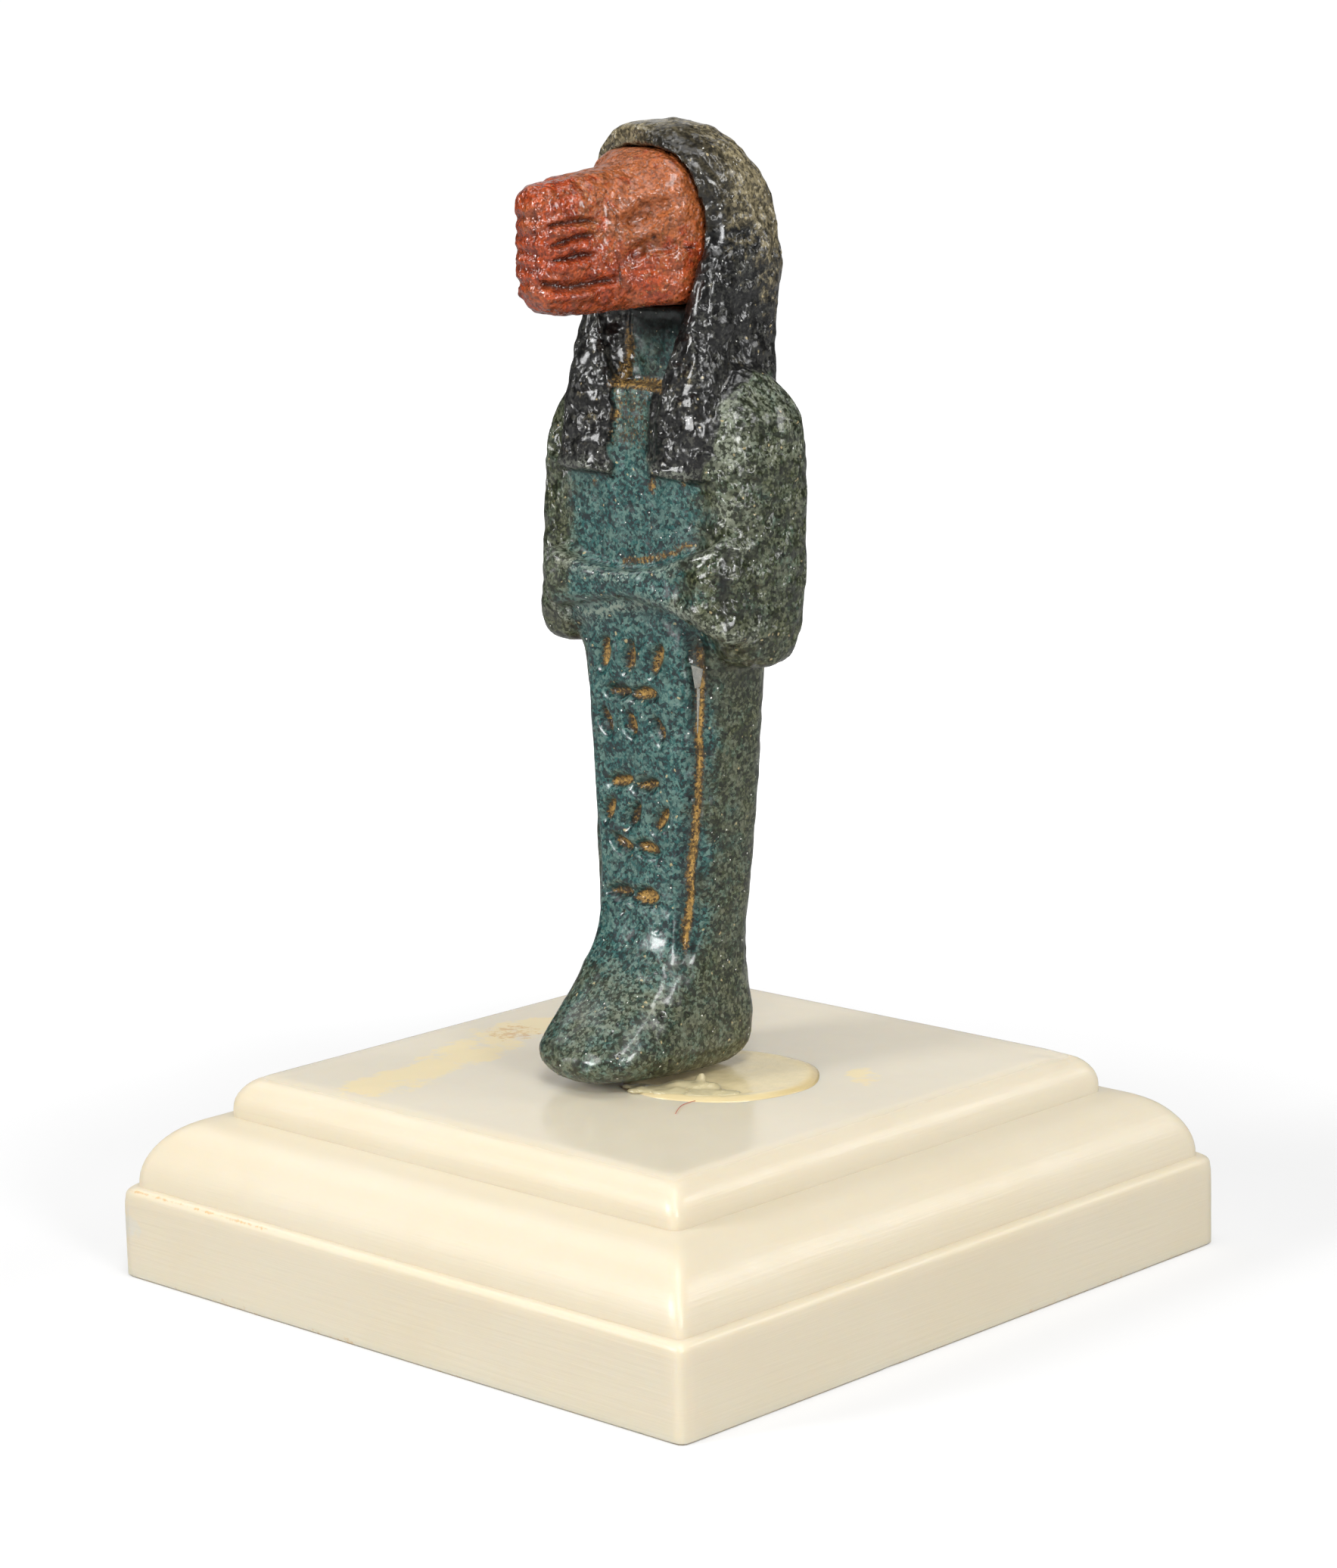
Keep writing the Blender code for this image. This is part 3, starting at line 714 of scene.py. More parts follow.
# The wig and its two lappets are black; the throat between them isn't
def wigShare(local):
    x, y, z = local.T
    drift = 0.22 * lumps(local, 1.1, 15) + 0.1 * lumps(local, 0.45, 16)
    flat = local[:, [0, 2]]
    front = ease(1.0, -0.5, y)
    near = insideOf(flat, bodyWork["nearLappet"])
    far = insideOf(flat, bodyWork["farLappet"])
    lappets = ease(-0.45, 0.3, np.maximum(near, far) + drift) * front
    throat = ease(-0.1, 0.15, insideOf(flat, bodyWork["throat"])) * ease(-0.8, -1.4, y)
    cap = ease(44.1, 45.0, z + drift) * (1.0 - throat)
    nape = ease(41.2, 42.0, z + drift) * ease(0.5, 1.5, y) * ease(6.2, 5.4, np.abs(x))
    return np.maximum.reduce([cap, lappets, nape])


# How far each point is from the head's solid, looked up only near it
def besideHead(points):
    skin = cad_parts["animal_head"].data
    corners = [vertex.co for vertex in skin.vertices]
    lookup = BVHTree.FromPolygons(corners, [face.vertices for face in skin.polygons])
    reach = 3.0 * mm
    away = np.full(len(points), reach)
    low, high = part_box("animal_head")
    near = np.all((points > np.array(low) - reach) & (points < np.array(high) + reach), axis=1)
    for index in np.flatnonzero(near):
        found = lookup.find_nearest(Vector(points[index]), reach)
        if found[0] is not None:
            away[index] = found[3]
    return away


# The node's plain cuts are smoothed away, so that finer ones can be made in their place
def smoothCuts(mesh):
    points = getPoints(mesh)
    upright = toSpace(points, figureSpace())
    flat = upright[:, [0, 2]]
    paths = strokePaths() + borderPaths()
    carved = np.maximum.reduce([ease(1.0, 0.55, alongPath(flat, path)[0]) for path in paths])
    carved *= ease(-1.0, -2.0, upright[:, 1])
    rim = ease(0.2, -0.4, upright[:, 1]) * ease(47.8, 48.6, upright[:, 2])
    soft, calm, plain = [relaxed(mesh, points, rounds) for rounds in (14, 4, 45)]
    points += (points - soft) * (bodyWork["crispness"] * (1.0 - rim))[:, None]
    points += (calm - points) * rim[:, None]
    points += (plain - points) * carved[:, None]
    setPoints(mesh, points)
    return points, flat, rim


def makeBody():
    body = fineSkin("figurine_body", "figurineBody", bodyWork["voxel"], 1)
    mesh = body.data
    points, flat, rim = smoothCuts(mesh)
    normals = broadNormals(mesh, points, 6)
    local = toSpace(points, figureSpace())
    x, y, z = local.T
    wig = wigShare(local)
    facing = ease(-0.1, 0.45, -normals[:, 1]) * ease(-1.0, -2.0, y)
    ahead = ease(-1.5, -2.5, y)
    wavy = flat + np.stack([lumps(local, 1.3, 3), lumps(local, 1.1, 4)], axis=1) * 0.12
    push, ochre, shade, worn = np.zeros((4, len(points)))

    # Border lines, strokes, raised edges and the crease at the elbow; the cuts and the crease get
    # painted shade, the raised edges painted highlights
    for path, share in zip(borderPaths(), (1.0, 0.4)):
        wide = bodyWork["borderWidth"] * (1.0 + 0.35 * ease(25.0, 27.5, z))
        cut, mask = cutLine(wavy, path, wide, bodyWork["borderDepth"], 0.07)
        seen = ease(-1.0, -2.0, y) * share
        push += cut * seen
        shade = np.maximum(shade, mask**0.6 * seen)
        ochre = np.maximum(ochre, mask**1.5 * seen * (1.0 - 0.36 * ease(24.0, 26.5, z)))
    for index, path in enumerate(strokePaths()):
        cut, mask = cutLine(wavy, path, bodyWork["strokeWidth"], bodyWork["strokeDepth"], 0.06, 0.4)
        share = bodyWork["strokeOchre"][index * 5 % len(bodyWork["strokeOchre"])]
        push += cut * facing
        shade = np.maximum(shade, mask**0.7 * facing)
        ochre = np.maximum(ochre, mask**1.3 * facing * share)
    for line, wide in zip(bodyWork["ridges"], bodyWork["ridgeWidths"]):
        rise = bell(alongPath(wavy, line)[0], wide) * ahead
        push += bodyWork["ridgeHeight"] * rise
        worn = np.maximum(worn, rise * (0.75 + 0.45 * lumps(local, 0.8, 17)))
    cut, crease = cutLine(wavy, bodyWork["crease"], 0.3, 0.2)
    push += cut * ahead

    # Lumps and pits, and the wall of the opening pressed in beside the head
    knobs = 0.45 + 0.75 * wig + 0.45 * ease(5.5, 7.0, np.abs(x))
    quiet = 1.0 - 0.6 * facing * ease(30.0, 28.0, z)
    push += knobs * roughLumps(local, bodyWork["rough"]) * quiet * (1.0 - 0.5 * rim)
    random = np.random.default_rng(bodyWork["seed"])
    picked = random.choice(len(points), bodyWork["pits"], replace=False)
    radii = random.uniform(*bodyWork["pitRadius"], len(picked))
    depths = radii * random.uniform(*bodyWork["pitDepth"], len(picked))
    pits = dimples(local, local[picked], radii, depths)
    push += pits
    around = toSpace(points, headSpace())
    rise = around[:, 2] - bodyWork["openingMiddle"]
    inward = around[:, 0] * normals[:, 0] + rise * normals[:, 2]
    wall = ease(-1.0, -2.5, inward) * ease(-0.2, -0.8, around[:, 1]) * ease(47.0, 49.0, z)
    push += 0.2 * wall * ease(4.2, 2.5, around[:, 0])
    setPoints(mesh, points + normals * push[:, None] * stance["part"])

    # Masks for the glaze, painted shade and painted highlights among them
    final = getPoints(mesh)
    bend = np.einsum("ij,ij->i", final - relaxed(mesh, final, 8), getNormals(mesh)) / stance["part"]
    drift = 1.3 * lumps(local, 2.4, 18) + 0.8 * lumps(local, 0.9, 19)
    blueFront = ease(-0.2, 0.7, -normals[:, 1]) * ease(6.6, 3.8, np.abs(x - 0.2 + drift))
    blueFront *= 0.3 + 0.7 * ease(5.0, 10.0, z + drift)
    blueFront *= 1.0 - 0.45 * ease(38.0, 40.0, z + drift)
    blueFront += 0.5 * ease(3.6, 1.5, np.abs(x - 4.0)) * ease(40.5, 43.0, z + drift) * (1.0 - wig)
    front = ease(0.5, -0.5, y)
    ledge = bell(alongPath(wavy, bodyWork["throatLedge"])[0], 0.45) * front * ease(49.5, 46.0, z)
    inner = bell(alongPath(wavy, bodyWork["throatEdge"])[0], 0.4) * front * (1.0 - wig)
    shelf = bell(alongPath(wavy, bodyWork["armShelf"])[0], 0.4) * facing
    crumbs = ease(2.2, 1.2, np.abs(x)) * ease(38.5, 40.5, z) * ease(44.0, 43.0, z) * facing
    ochre = np.maximum.reduce([ochre, 0.72 * ledge, 0.6 * inner, 0.62 * shelf, 0.42 * crumbs])
    for spotX, spotZ, size in bodyWork["ochreSpots"]:
        spot = np.hypot(x - spotX, (z - spotZ) * 0.7)
        ochre = np.maximum(ochre, 0.75 * bell(spot, size) * facing)
    # Painted highlights: broad lighter spots on the shoulder, arm and top of the foot
    for spotX, spotZ, size, share in bodyWork["wornSpots"]:
        spot = np.hypot(x - spotX, z - spotZ)
        worn = np.maximum(worn, share * bell(spot, size) * ease(3.5, 1.5, y) * (1.0 - wig))
    # Patina, heaviest on the crown, where it also stands for a painted highlight
    crownPatinaAndSheen = 0.16 + 0.6 * ease(48.0, 57.0, z) + 0.12 * ease(-1.0, 3.0, y)
    crownPatinaAndSheen += 0.22 * lumps(local, 2.6, 20)
    # Painted shade: the throat darker under the head, the wig darker where the head's shadow falls
    # beside it, and pits and hollow bends darker
    throatShade = ease(-0.6, 0.2, insideOf(flat, bodyWork["throat"])) * front
    throatShade *= 0.45 + 0.5 * ease(45.6, 48.2, z + 0.4 * drift)
    headShadow = ease(2.4, 0.7, besideHead(final) / mm) * ease(-1.0, 2.5, around[:, 0])
    headShadow *= 0.95 * ease(0.0, -0.6, y)
    pitShade = np.maximum(ease(-0.04, -0.14, pits), 0.9 * ease(-0.03, -0.2, bend))
    paint(mesh, "wig", wig)
    paint(mesh, "patinaAndSheen", wig * crownPatinaAndSheen)
    paint(mesh, "knobbly", np.maximum(wig, ease(5.0, 7.2, np.abs(x)) * ease(24.0, 27.0, z)))
    paint(mesh, "blueFront", blueFront)
    paint(mesh, "ochre", ochre)
    # Painted highlights on convex bends, raised edges and spots
    paint(mesh, "paintedHighlight", np.maximum(0.6 * ease(0.05, 0.2, bend) * (1.0 - 0.5 * wig), worn))
    paint(mesh, "paintedShade", np.maximum.reduce([0.75 * shade, 0.8 * crease * ahead, throatShade, headShadow, pitShade]))
    return body


# Head: ridged muzzle, whisker lines, mouth and drying cracks, with painted shade in the cuts,
# cracks and holes.
# Paths are the distance ahead and the height in the head's own space.
headWork = {
    "voxel": 0.13 * mm,
    "whiskers": [
        [(10.9, 53.65), (10.4, 53.8), (9.4, 53.95), (8.1, 54.05), (7.7, 53.95)],
        [(10.7, 52.5), (9.95, 52.75), (9.0, 53.0), (8.0, 53.15), (7.6, 53.2)],
        [(10.55, 51.65), (9.55, 51.75), (8.5, 51.9), (7.7, 52.0)],
    ],
    "mouth": [(11.4, 50.2), (10.8, 50.15), (9.4, 50.05), (7.7, 50.25), (6.6, 50.4), (6.2, 50.55)],
    "pads": [
        [(10.7, 53.1), (9.4, 53.4), (7.9, 53.6)],
        [(10.6, 52.1), (9.3, 52.4), (7.9, 52.55)],
        [(10.5, 51.15), (9.3, 51.3), (7.9, 51.4)],
        [(11.1, 49.6), (9.4, 49.45), (7.4, 49.7)],
    ],
    "padWidth": 0.3,
    "padHeight": 0.28,
    "crease": [(5.8, 51.6), (5.15, 52.0), (4.65, 52.3), (4.05, 52.4), (3.0, 52.4)],
    "cheek": [(6.1, 53.8), (5.4, 53.9), (4.7, 54.4), (4.0, 54.75), (3.3, 55.0)],
    "crack": [
        (7.0, 55.5), (6.7, 54.9), (6.4, 54.3), (6.3, 53.85), (6.55, 52.9), (6.35, 52.0),
        (6.1, 51.3), (6.05, 50.4), (5.8, 49.5),
    ],
    "shortCrack": [(2.9, 52.35), (1.9, 52.3)],
    "cuts": {  # width, depth, lip and darkness
        "whiskers": (0.18, 0.38, 0.06, 0.95),
        "mouth": (0.25, 0.4, 0.1, 0.95),
        "crease": (0.38, 0.3, 0.02, 0.35),
        "cheek": (0.5, 0.3, 0.18, 0.2),
        "crack": (0.07, 0.14, 0.02, 0.9),
        "shortCrack": (0.08, 0.2, 0.0, 1.0),
    },
    "frontLines": [54.2, 53.1, 52.1, 51.15, 50.2],
    "muzzleCorner": [(0.75, 54.6), (0.85, 52.0), (1.15, 50.7)],
    "holes": [(3.6, -4.2, 52.93), (2.2, -7.5, 52.35), (1.9, -5.7, 50.9)],
    "holeRadius": 0.2,
    "holeDepth": 0.25,
    "rough": [(0.08, 1.2, 31), (0.08, 0.55, 32), (0.04, 0.3, 33)],
}


def makeHead():
    head = fineSkin("animal_head", "animalHead", headWork["voxel"], 1)
    mesh = head.data
    points = getPoints(mesh)
    normals = broadNormals(mesh, points, 40)
    local = toSpace(points, headSpace())
    x, y, z = local.T
    flat = np.stack([-y, z], axis=1)
    aside = headSpace().to_3x3().normalized().col[0]
    turned = np.abs(normals @ np.array(aside))
    sideways = ease(0.35, 0.7, turned)
    ahead = ease(10.4, 11.0, -y) * ease(0.8, 0.5, turned)
    push, paintedShade = np.zeros((2, len(points)))
    wobble = np.stack([lumps(local, 0.9, 21), lumps(local, 0.8, 22)], axis=1) * 0.07
    lines = headWork["whiskers"] + [headWork["mouth"], headWork["crease"], headWork["cheek"]]
    carved = np.maximum.reduce([ease(0.8, 0.4, alongPath(flat, line)[0]) for line in lines])
    carved = np.maximum(carved * sideways, ahead)[:, None]
    points += (relaxed(mesh, points, 60) - points) * carved

    # Each cut is pressed in and painted with shade
    def carve(kind, path, where):
        nonlocal push, paintedShade
        width, depth, lip, shadeStrength = headWork["cuts"][kind]
        cut, mask = cutLine(flat + wobble, path, width, depth, lip, 0.35)
        push = push + cut * where
        paintedShade = np.maximum(paintedShade, mask**2 * where * shadeStrength)

    for line in headWork["whiskers"]:
        carve("whiskers", line, sideways)
    for line in headWork["pads"]:
        away, share = alongPath(flat + wobble, line)
        fade = ease(0.0, 0.15, share) * ease(1.0, 0.85, share)
        push += headWork["padHeight"] * bell(away, headWork["padWidth"]) * fade * sideways
    for kind in ("mouth", "crease", "cheek"):
        carve(kind, headWork[kind], sideways)
    broken = ease(-0.25, 0.15, lumps(local, 1.1, 25))
    carve("crack", headWork["crack"], sideways * broken)
    carve("shortCrack", headWork["shortCrack"], ease(0.0, 0.5, x))
    for height in headWork["frontLines"]:
        away = np.abs(z + wobble[:, 0] - height)
        cut = bell(away, 0.2) * ahead
        push += 0.04 * bell(away - 0.5, 0.25) * ahead - 0.08 * cut
        paintedShade = np.maximum(paintedShade, 0.35 * cut**2)
    # The muzzle's corner, cut in and painted with shade
    corner = alongPath(np.stack([x, z], axis=1) + wobble, headWork["muzzleCorner"])[0]
    edge = bell(corner, 0.11) * ease(10.4, 10.9, -y)
    push -= 0.12 * edge
    paintedShade = np.maximum(paintedShade, 0.6 * edge)
    # Small holes with painted shade in them
    for centre in headWork["holes"]:
        away = np.linalg.norm(local - np.array(centre), axis=1)
        spot = np.exp(-((away / headWork["holeRadius"]) ** 4))
        push -= headWork["holeDepth"] * spot
        paintedShade = np.maximum(paintedShade, spot)
    push += roughLumps(local, headWork["rough"]) * (0.25 + 0.75 * ease(2.8, 4.2, -y))
    setPoints(mesh, points + normals * push[:, None] * stance["part"])
    dust = 0.22 + 0.4 * ease(50.5, 54.5, z) - 0.3 * ease(7.5, 10.0, -y) + 0.15 * ease(8.0, 5.0, -y)
    dust += 0.15 * lumps(local, 1.8, 34)
    paint(mesh, "dust", dust)
    paint(mesh, "paintedShade", paintedShade)
    return head


# Base: the node's own profile, swept round a square with slightly worn corners.
# Chips and stains are in millimetres; the stains lie along a slant across the top.
baseWork = {
    "plinthHeight": 6.0 * mm,
    "edgeRound": 0.45 * mm,
    "ledgeWidth": 0.7 * mm,
    "lowerMoulding": 4.45 * mm,
    "upperRiser": 0.5 * mm,
    "upperMoulding": 2.15 * mm,
    "arrisRound": 0.6 * mm,
    "footBevel": 0.15 * mm,
    "step": 0.55 * mm,
    "sideParts": 84,
    "sharpDegrees": 38.0,
    "chips": [  # x, y, z and radius
        (24.9, -7.0, 0.1, 0.3), (24.8, 24.6, 5.8, 0.6), (-24.8, -24.8, 5.9, 0.7),
        (18.0, 17.6, 12.9, 0.9), (6.0, -24.9, 6.0, 0.35), (-12.0, -24.9, 5.95, 0.3),
        (24.9, 8.0, 6.0, 0.3), (-17.5, -18.0, 12.6, 0.5),
    ],
    "chipDepth": 0.22,
    "slant": (0.717, 0.697),
    "spill": [(-18.5, -4.0), (-13.5, 3.0), (-8.5, 11.0)],
    "spillWidth": 3.4,
}


def arcPoints(centre, height, radius, count):
    angles = [math.pi / 2.0 * (1.0 - index / count) for index in range(count + 1)]
    return [(centre + radius * math.cos(turn), height + radius * math.sin(turn)) for turn in angles]


def evenly(outline, step):
    even = [outline[0]]
    for start, end in zip(outline, outline[1:]):
        span = math.dist(start, end)
        parts = max(1, round(span / step))
        for index in range(1, parts + 1):
            share = index / parts
            even.append(tuple(a + (b - a) * share for a, b in zip(start, end)))
    return even


def baseOutline():
    low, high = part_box("display_base")
    half = (high.x - low.x) / 2.0
    foot = half - baseWork["ledgeWidth"]
    step = foot - baseWork["lowerMoulding"]
    flat = step - baseWork["upperMoulding"]
    upperFoot = baseWork["plinthHeight"] + baseWork["lowerMoulding"] + baseWork["upperRiser"]
    rounding = baseWork["edgeRound"]
    bevel = baseWork["footBevel"]
    outline = [(flat * 0.04, upperFoot + baseWork["upperMoulding"])]
    outline += arcPoints(flat, upperFoot, baseWork["upperMoulding"], 10)
    outline += arcPoints(step, baseWork["plinthHeight"], baseWork["lowerMoulding"], 16)
    outline += arcPoints(half - rounding, baseWork["plinthHeight"] - rounding, rounding, 4)
    outline += [(half, bevel), (half - bevel, 0.0), (half * 0.04, 0.0)]
    return evenly(outline, baseWork["step"])


# One ring of the sweep: a square of the given half side with rounded corners
def squareRing(half, count):
    radius = min(baseWork["arrisRound"], half * 0.5)
    ring = []
    for quarter in range(4):
        turn = Matrix.Rotation(quarter * math.pi / 2.0, 2)
        for index in range(count):
            along = -1.0 + 2.0 * (index + 0.5) / count
            ring.append(turn @ Vector((half, along * (half - radius))))
        for index in range(1, 4):
            angle = math.pi / 8.0 * index
            corner = Vector((math.cos(angle), math.sin(angle))) * radius
            ring.append(turn @ (Vector((half - radius, half - radius)) + corner))
    return ring


# Faces between rings of points, closed at both ends
def closedRings(bm, rings):
    for inner, outer in zip(rings, rings[1:]):
        for index in range(len(inner)):
            after = (index + 1) % len(inner)
            bm.faces.new((inner[index], outer[index], outer[after], inner[after]))
    bm.faces.new(rings[0])
    bm.faces.new(list(reversed(rings[-1])))
    bmesh.ops.recalc_face_normals(bm, faces=bm.faces)


def makeBase():
    bm = bmesh.new()
    rings = []
    for half, height in baseOutline():
        ring = squareRing(half, baseWork["sideParts"])
        rings.append([bm.verts.new((point.x, point.y, height)) for point in ring])
    closedRings(bm, rings)
    mesh = meshFrom(bm, "stoneBase")
    mesh.shade_smooth()
    mesh.set_sharp_from_angle(angle=math.radians(baseWork["sharpDegrees"]))
    base = linkNew("stoneBase", mesh)
    points = getPoints(mesh)
    normals = getNormals(mesh)
    local = points / mm
    x, y, z = local.T
    side = ease(12.9, 12.4, z) * ease(0.0, 0.6, z)
    push = 0.025 * lumps(local, 7.0, 41) * side + 0.01 * lumps(local, 1.6, 42) * side
    for *centre, size in baseWork["chips"]:
        away = np.linalg.norm(local - np.array(centre), axis=1)
        push -= baseWork["chipDepth"] * size * bell(away, size)
    setPoints(mesh, points + normals * push[:, None] * mm)
    top = ease(12.9, 13.0, z)
    slantX, slantY = baseWork["slant"]
    along = slantX * x + slantY * y
    across = slantX * y - slantY * x
    spill = alongPath(np.stack([along, across], axis=1), baseWork["spill"])[0]
    spill /= baseWork["spillWidth"]
    ring = np.hypot((along - 12.6) / 1.6, (across + 4.6) / 3.0)
    stain = np.maximum(0.68 * ease(1.3, 0.2, spill), 0.6 * ease(1.2, 0.4, ring))
    seam = ease(0.45, 0.1, np.abs(z - 6.05)) * ease(24.6, 24.9, np.maximum(np.abs(x), np.abs(y)))
    rust = 0.62 * seam * ease(-6.0, -12.0, x) * ease(-20.0, -24.0, y)
    rust += 0.5 * ease(0.6, 0.0, z) * (0.6 + 0.4 * lumps(local, 3.0, 44))
    specks = np.hypot((along + 10.0) / 2.4, (across - 9.0) / 3.0)
    rust = np.maximum(rust, 0.5 * ease(1.3, 0.3, specks) * top)
    scuff = ease(1.0, 0.2, np.hypot((x + 24.0) / 1.6, (z - 3.5) / 1.5)) * ease(-24.0, -24.8, y)
    paint(mesh, "stain", stain * top)
    paint(mesh, "rust", rust)
    paint(mesh, "scuff", 0.7 * scuff)
    paint(mesh, "polish", top)
    return base


# Adhesive: a thin disc with a wavy rim, and a squeezed out waxy lump before the foot
glueWork = {
    "radius": 6.35,
    "x": 5.0,
    "y": -0.1,
    "thickness": 0.32,
    "rings": 26,
    "around": 150,
    "lumps": [  # x, y, width, depth and height
        (2.9, -5.4, 1.1, 0.5, 0.14), (4.2, -5.3, 1.4, 0.8, 0.24), (5.6, -4.9, 1.6, 0.9, 0.28),
        (6.9, -4.3, 1.4, 0.9, 0.26), (8.1, -3.3, 1.2, 0.7, 0.2), (5.2, -4.0, 1.5, 0.9, 0.45),
        (6.5, -3.4, 1.2, 0.8, 0.5), (5.9, -2.9, 0.4, 0.3, 0.85), (3.6, -6.2, 0.7, 0.35, 0.12),
    ],
    "lumpTurn": 38.0,
    "lumpLift": 0.12,
    "lumpVoxel": 0.1 * mm,
}


def makeGlueDisc():
    bm = bmesh.new()
    rings = []
    for ring in range(1, glueWork["rings"] + 1):
        share = ring / glueWork["rings"]
        row = []
        for index in range(glueWork["around"]):
            angle = 2.0 * math.pi * index / glueWork["around"]
            wave = 1.0 + 0.012 * math.sin(3.0 * angle + 1.0) + 0.01 * math.sin(7.0 * angle)
            radius = glueWork["radius"] * share * wave
            rise = glueWork["thickness"] * min(1.0, 4.5 * (1.0 - share)) ** 0.5
            rise *= 0.55 + 0.45 * math.exp(-(((share - 0.9) / 0.07) ** 2))
            x = glueWork["x"] + radius * math.cos(angle)
            y = glueWork["y"] + radius * math.sin(angle)
            row.append(bm.verts.new((x * mm, y * mm, baseTop + (rise - 0.03) * mm)))
        rings.append(row)
    closedRings(bm, rings)
    mesh = meshFrom(bm, "glueDisc")
    points = getPoints(mesh)
    local = points / mm
    raised = ease(0.1, 0.2, local[:, 2] - baseTop / mm)
    points[:, 2] += raised * (0.03 * lumps(local, 1.4, 51) + 0.015 * lumps(local, 0.5, 52)) * mm
    setPoints(mesh, points)
    offset = local[:, :2] - np.array((glueWork["x"], glueWork["y"]))
    share = np.linalg.norm(offset, axis=1) / glueWork["radius"]
    toRight = offset @ np.array(baseWork["slant"]) / glueWork["radius"]
    paint(mesh, "edge", bell(share - 0.95, 0.07) * (0.25 + 0.6 * ease(0.2, 1.0, toRight)))
    mesh.shade_smooth()
    return linkNew("glueDisc", mesh)


def makeGlueLump():
    bm = bmesh.new()
    for x, y, wide, deep, high in glueWork["lumps"]:
        shape = Matrix.Translation((x * mm, y * mm, baseTop + glueWork["lumpLift"] * mm))
        shape = shape @ Matrix.Rotation(math.radians(glueWork["lumpTurn"]), 4, "Z")
        shape = shape @ Matrix.Diagonal((wide * mm, deep * mm, high * mm, 1.0))
        bmesh.ops.create_uvsphere(bm, u_segments=20, v_segments=12, radius=1.0, matrix=shape)
    rough = linkNew("glueLumpRough", meshFrom(bm, "glueLumpRough"))
    remesh = rough.modifiers.new("one skin", "REMESH")
    remesh.mode = "VOXEL"
    remesh.voxel_size = glueWork["lumpVoxel"]
    smooth = rough.modifiers.new("run together", "SMOOTH")
    smooth.iterations = 4
    skin = frozenMesh(rough)

    points = getPoints(skin)
    local = points / mm
    push = 0.08 * lumps(local, 0.9, 61) + 0.05 * lumps(local, 0.4, 62)
    points += getNormals(skin) * push[:, None] * mm
    points[:, 2] = np.maximum(points[:, 2], baseTop + 0.02 * mm)
    setPoints(skin, points)
    skin.shade_smooth()
    return linkNew("glueLump", skin)


# Small loose things: the clear flake in the groove and lint
bits = {
    "flake": [(4.75, -3.4, 26.6), (5.3, -2.9, 26.35), (5.12, -2.95, 25.2), (4.9, -3.2, 25.1)],
    "sliver": [(5.0, -3.15, 25.2), (5.14, -3.0, 25.1), (4.98, -3.0, 22.4), (4.93, -3.05, 22.2)],
    "flakeThickness": 0.12,
    "lint": [(8.91, -8.37), (8.0, -7.1), (7.75, -6.2), (7.81, -5.44)],
    "lintRadius": 0.018 * mm,
    "lintLift": 0.05 * mm,
    "flakeColour": (0.6, 0.6, 0.55),
    "lintColour": (0.45, 0.05, 0.03),
}


def makeFlake(name):
    space = figureSpace()
    bm = bmesh.new()
    front = [bm.verts.new(space @ Vector(point)) for point in bits[name]]
    face = bm.faces.new(front)
    thick = bmesh.ops.extrude_face_region(bm, geom=[face])
    lifted = [item for item in thick["geom"] if isinstance(item, bmesh.types.BMVert)]
    away = Vector((0.6, -1.0, 0.1)).normalized() * bits["flakeThickness"] * stance["part"]
    bmesh.ops.translate(bm, verts=lifted, vec=away)
    bmesh.ops.recalc_face_normals(bm, faces=bm.faces)
    bmesh.ops.bevel(bm, geom=list(bm.edges), offset=0.03 * mm, segments=2, affect="EDGES")
    return linkNew(name, meshFrom(bm, name))


def makeFibre(name, points, radius):
    curve = bpy.data.curves.new(name, "CURVE")
    curve.dimensions = "3D"
    curve.bevel_depth = radius
    curve.bevel_resolution = 1
    curve.use_fill_caps = True
    spline = curve.splines.new("NURBS")
    spline.points.add(len(points) - 1)
    for target, point in zip(spline.points, points):
        target.co = (*point, 1.0)
    spline.use_endpoint_u = True
    spline.order_u = 3
    return linkNew(name, frozenMesh(linkNew(name + "Line", curve)))


# Setting out
print("materials")
materials = {
    "faience": faienceMaterial(),
    "redware": redwareMaterial(),
    "stone": stoneMaterial(),
    "glueDisc": glueMaterial("clearGlue", glue["clear"], 0.0, 0.12),
    "glueLump": glueMaterial("waxyGlue", glue["waxy"], 0.1, 0.14),
    "flake": plainMaterial("clearFlake", bits["flakeColour"], 0.12, 0.7),
    "lint": plainMaterial("redLint", bits["lintColour"], 0.7),
}


def finished(piece, material, slot, *nodes):
    piece.data.materials.clear()
    piece.data.materials.append(materials[material])
    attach(piece, "root")
    if nodes:
        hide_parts(*nodes)
    print("made", piece.name, len(piece.data.polygons))
    return piece


finished(makeBase(), "stone", "base_stone", "display_base")
finished(makeBody(), "faience", "teal_faience", "figurine_body")
finished(makeHead(), "redware", "red_faience", "animal_head")
finished(makeGlueDisc(), "glueDisc", "adhesive", "adhesive_pad")
finished(makeGlueLump(), "glueLump", "adhesive", "adhesive_pad")
finished(makeFlake("flake"), "flake", "adhesive")
finished(makeFlake("sliver"), "flake", "adhesive")
lintHeight = baseTop + bits["lintLift"]
lintPoints = [(x * mm, y * mm, lintHeight) for x, y in bits["lint"]]
finished(makeFibre("redLint", lintPoints, bits["lintRadius"]), "lint", "red_faience")

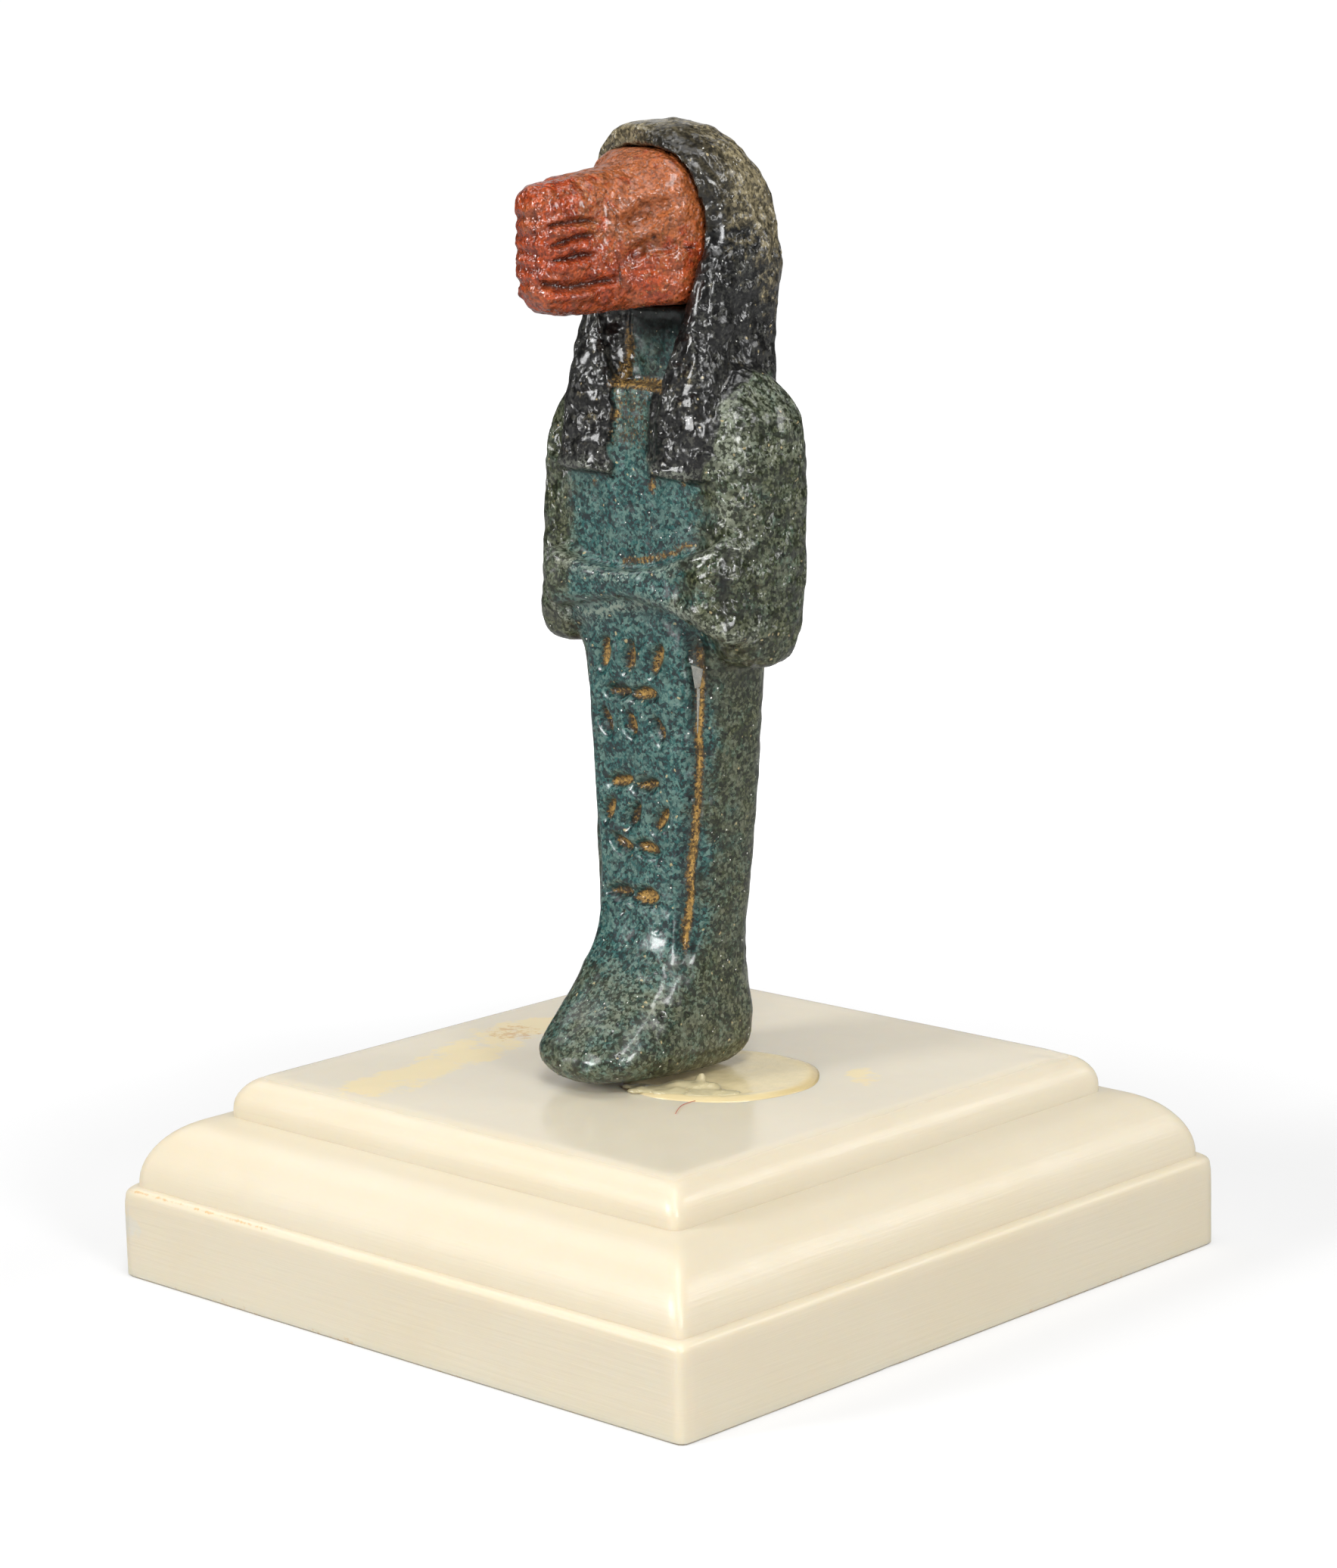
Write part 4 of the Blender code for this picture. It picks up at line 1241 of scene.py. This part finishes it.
# Floor, lights and the photograph's camera
studio = {
    "floorSide": 40.0,
    "floorColour": (0.42, 0.42, 0.42),
    "nearShadowGlow": (0.47, 0.47, 0.47),
    "farGlow": (1.0, 1.0, 1.0),
    "glowReach": (0.045, 0.15),
    "world": 0.06,
    "lights": [  # name, place, size and power
        ("keyLight", (-0.18, -0.45, 0.21), 0.13, 1.95),
        ("fillLight", (0.45, -0.15, 0.15), 0.11, 1.3),
        ("frontLight", (0.27, -0.25, 0.38), 0.13, 1.1),
        ("topLight", (0.06, -0.02, 0.5), 0.24, 0.88),
        ("leftLight", (-0.34, -0.03, 0.37), 0.2, 0.3),
        ("rimLight", (0.3, 0.3, 0.24), 0.12, 0.5),
        ("backLight", (-0.42, 0.43, 0.16), 0.4, 0.3),
    ],
    "aim": (0.0, 0.0, 0.035),
}
view = {
    "yaw": 0.7715,
    "pitch": 0.193,
    "roll": -0.0254,
    "place": (0.18249, -0.18672, 0.0824),
    "focalPixels": 5546.04,
    "imageHeight": 2072,
    "sensor": 36.0,
}


def makeFloor():
    bm = bmesh.new()
    bmesh.ops.create_grid(bm, x_segments=1, y_segments=1, size=studio["floorSide"] / 2.0)
    floor = linkNew("floor", meshFrom(bm, "floor"))
    material, tree, shader = newMaterial("paleFloor")
    tone = ranged(tree, cloud(tree, 60.0 * mm), 0.3, 0.7, 0.99, 1.0)
    feed(tree, shader.inputs["Base Color"], tinted(tree, studio["floorColour"], tone))
    setFinish(shader, {"Roughness": 0.9, "Specular IOR Level": 0.0, "Emission Strength": 1.0})
    seen = addNode(tree, "ShaderNodeLightPath").outputs["Is Camera Ray"]
    away = addNode(tree, "ShaderNodeVectorMath", operation="LENGTH")
    feed(tree, away.inputs[0], place(tree))
    # The glow is dimmer close to the base: a painted contact shadow on the floor
    beyond = ranged(tree, away.outputs["Value"], *studio["glowReach"])
    glow = mixed(tree, beyond, studio["nearShadowGlow"], studio["farGlow"])
    feed(tree, shader.inputs["Emission Color"], mixed(tree, seen, (0.0, 0.0, 0.0), glow))
    floor.data.materials.append(material)


def makeLights():
    world = bpy.data.worlds.new("studioWorld")
    bpy.context.scene.world = world
    world.use_nodes = True
    background = world.node_tree.nodes["Background"]
    background.inputs["Color"].default_value = (1.0, 1.0, 1.0, 1.0)
    background.inputs["Strength"].default_value = studio["world"]
    for name, spot, size, power in studio["lights"]:
        light = bpy.data.lights.new(name, "AREA")
        light.size = size
        light.energy = power
        lamp = linkNew(name, light)
        lamp.location = spot
        lamp.visible_camera = False
        aim = Vector(studio["aim"]) - Vector(spot)
        lamp.rotation_euler = aim.to_track_quat("-Z", "Y").to_euler()


def makeCamera():
    yaw, pitch, roll = view["yaw"], view["pitch"], view["roll"]
    level = math.cos(pitch)
    ahead = Vector((-math.sin(yaw) * level, math.cos(yaw) * level, -math.sin(pitch)))
    right = Vector((math.cos(yaw), math.sin(yaw), 0.0))
    up = right.cross(ahead)
    rolledRight = math.cos(roll) * right + math.sin(roll) * up
    rolledUp = math.cos(roll) * up - math.sin(roll) * right
    data = bpy.data.cameras.new("photoCamera")
    data.sensor_width = view["sensor"]
    data.lens = view["focalPixels"] / view["imageHeight"] * view["sensor"]
    data.clip_start = 0.01
    camera = linkNew("photoCamera", data)
    turn = Matrix((rolledRight, rolledUp, -ahead)).transposed().to_4x4()
    camera.matrix_world = Matrix.Translation(view["place"]) @ turn
    bpy.context.scene.camera = camera


print("studio")
bpy.context.scene.view_settings.view_transform = "Standard"
makeFloor()
makeLights()
makeCamera()
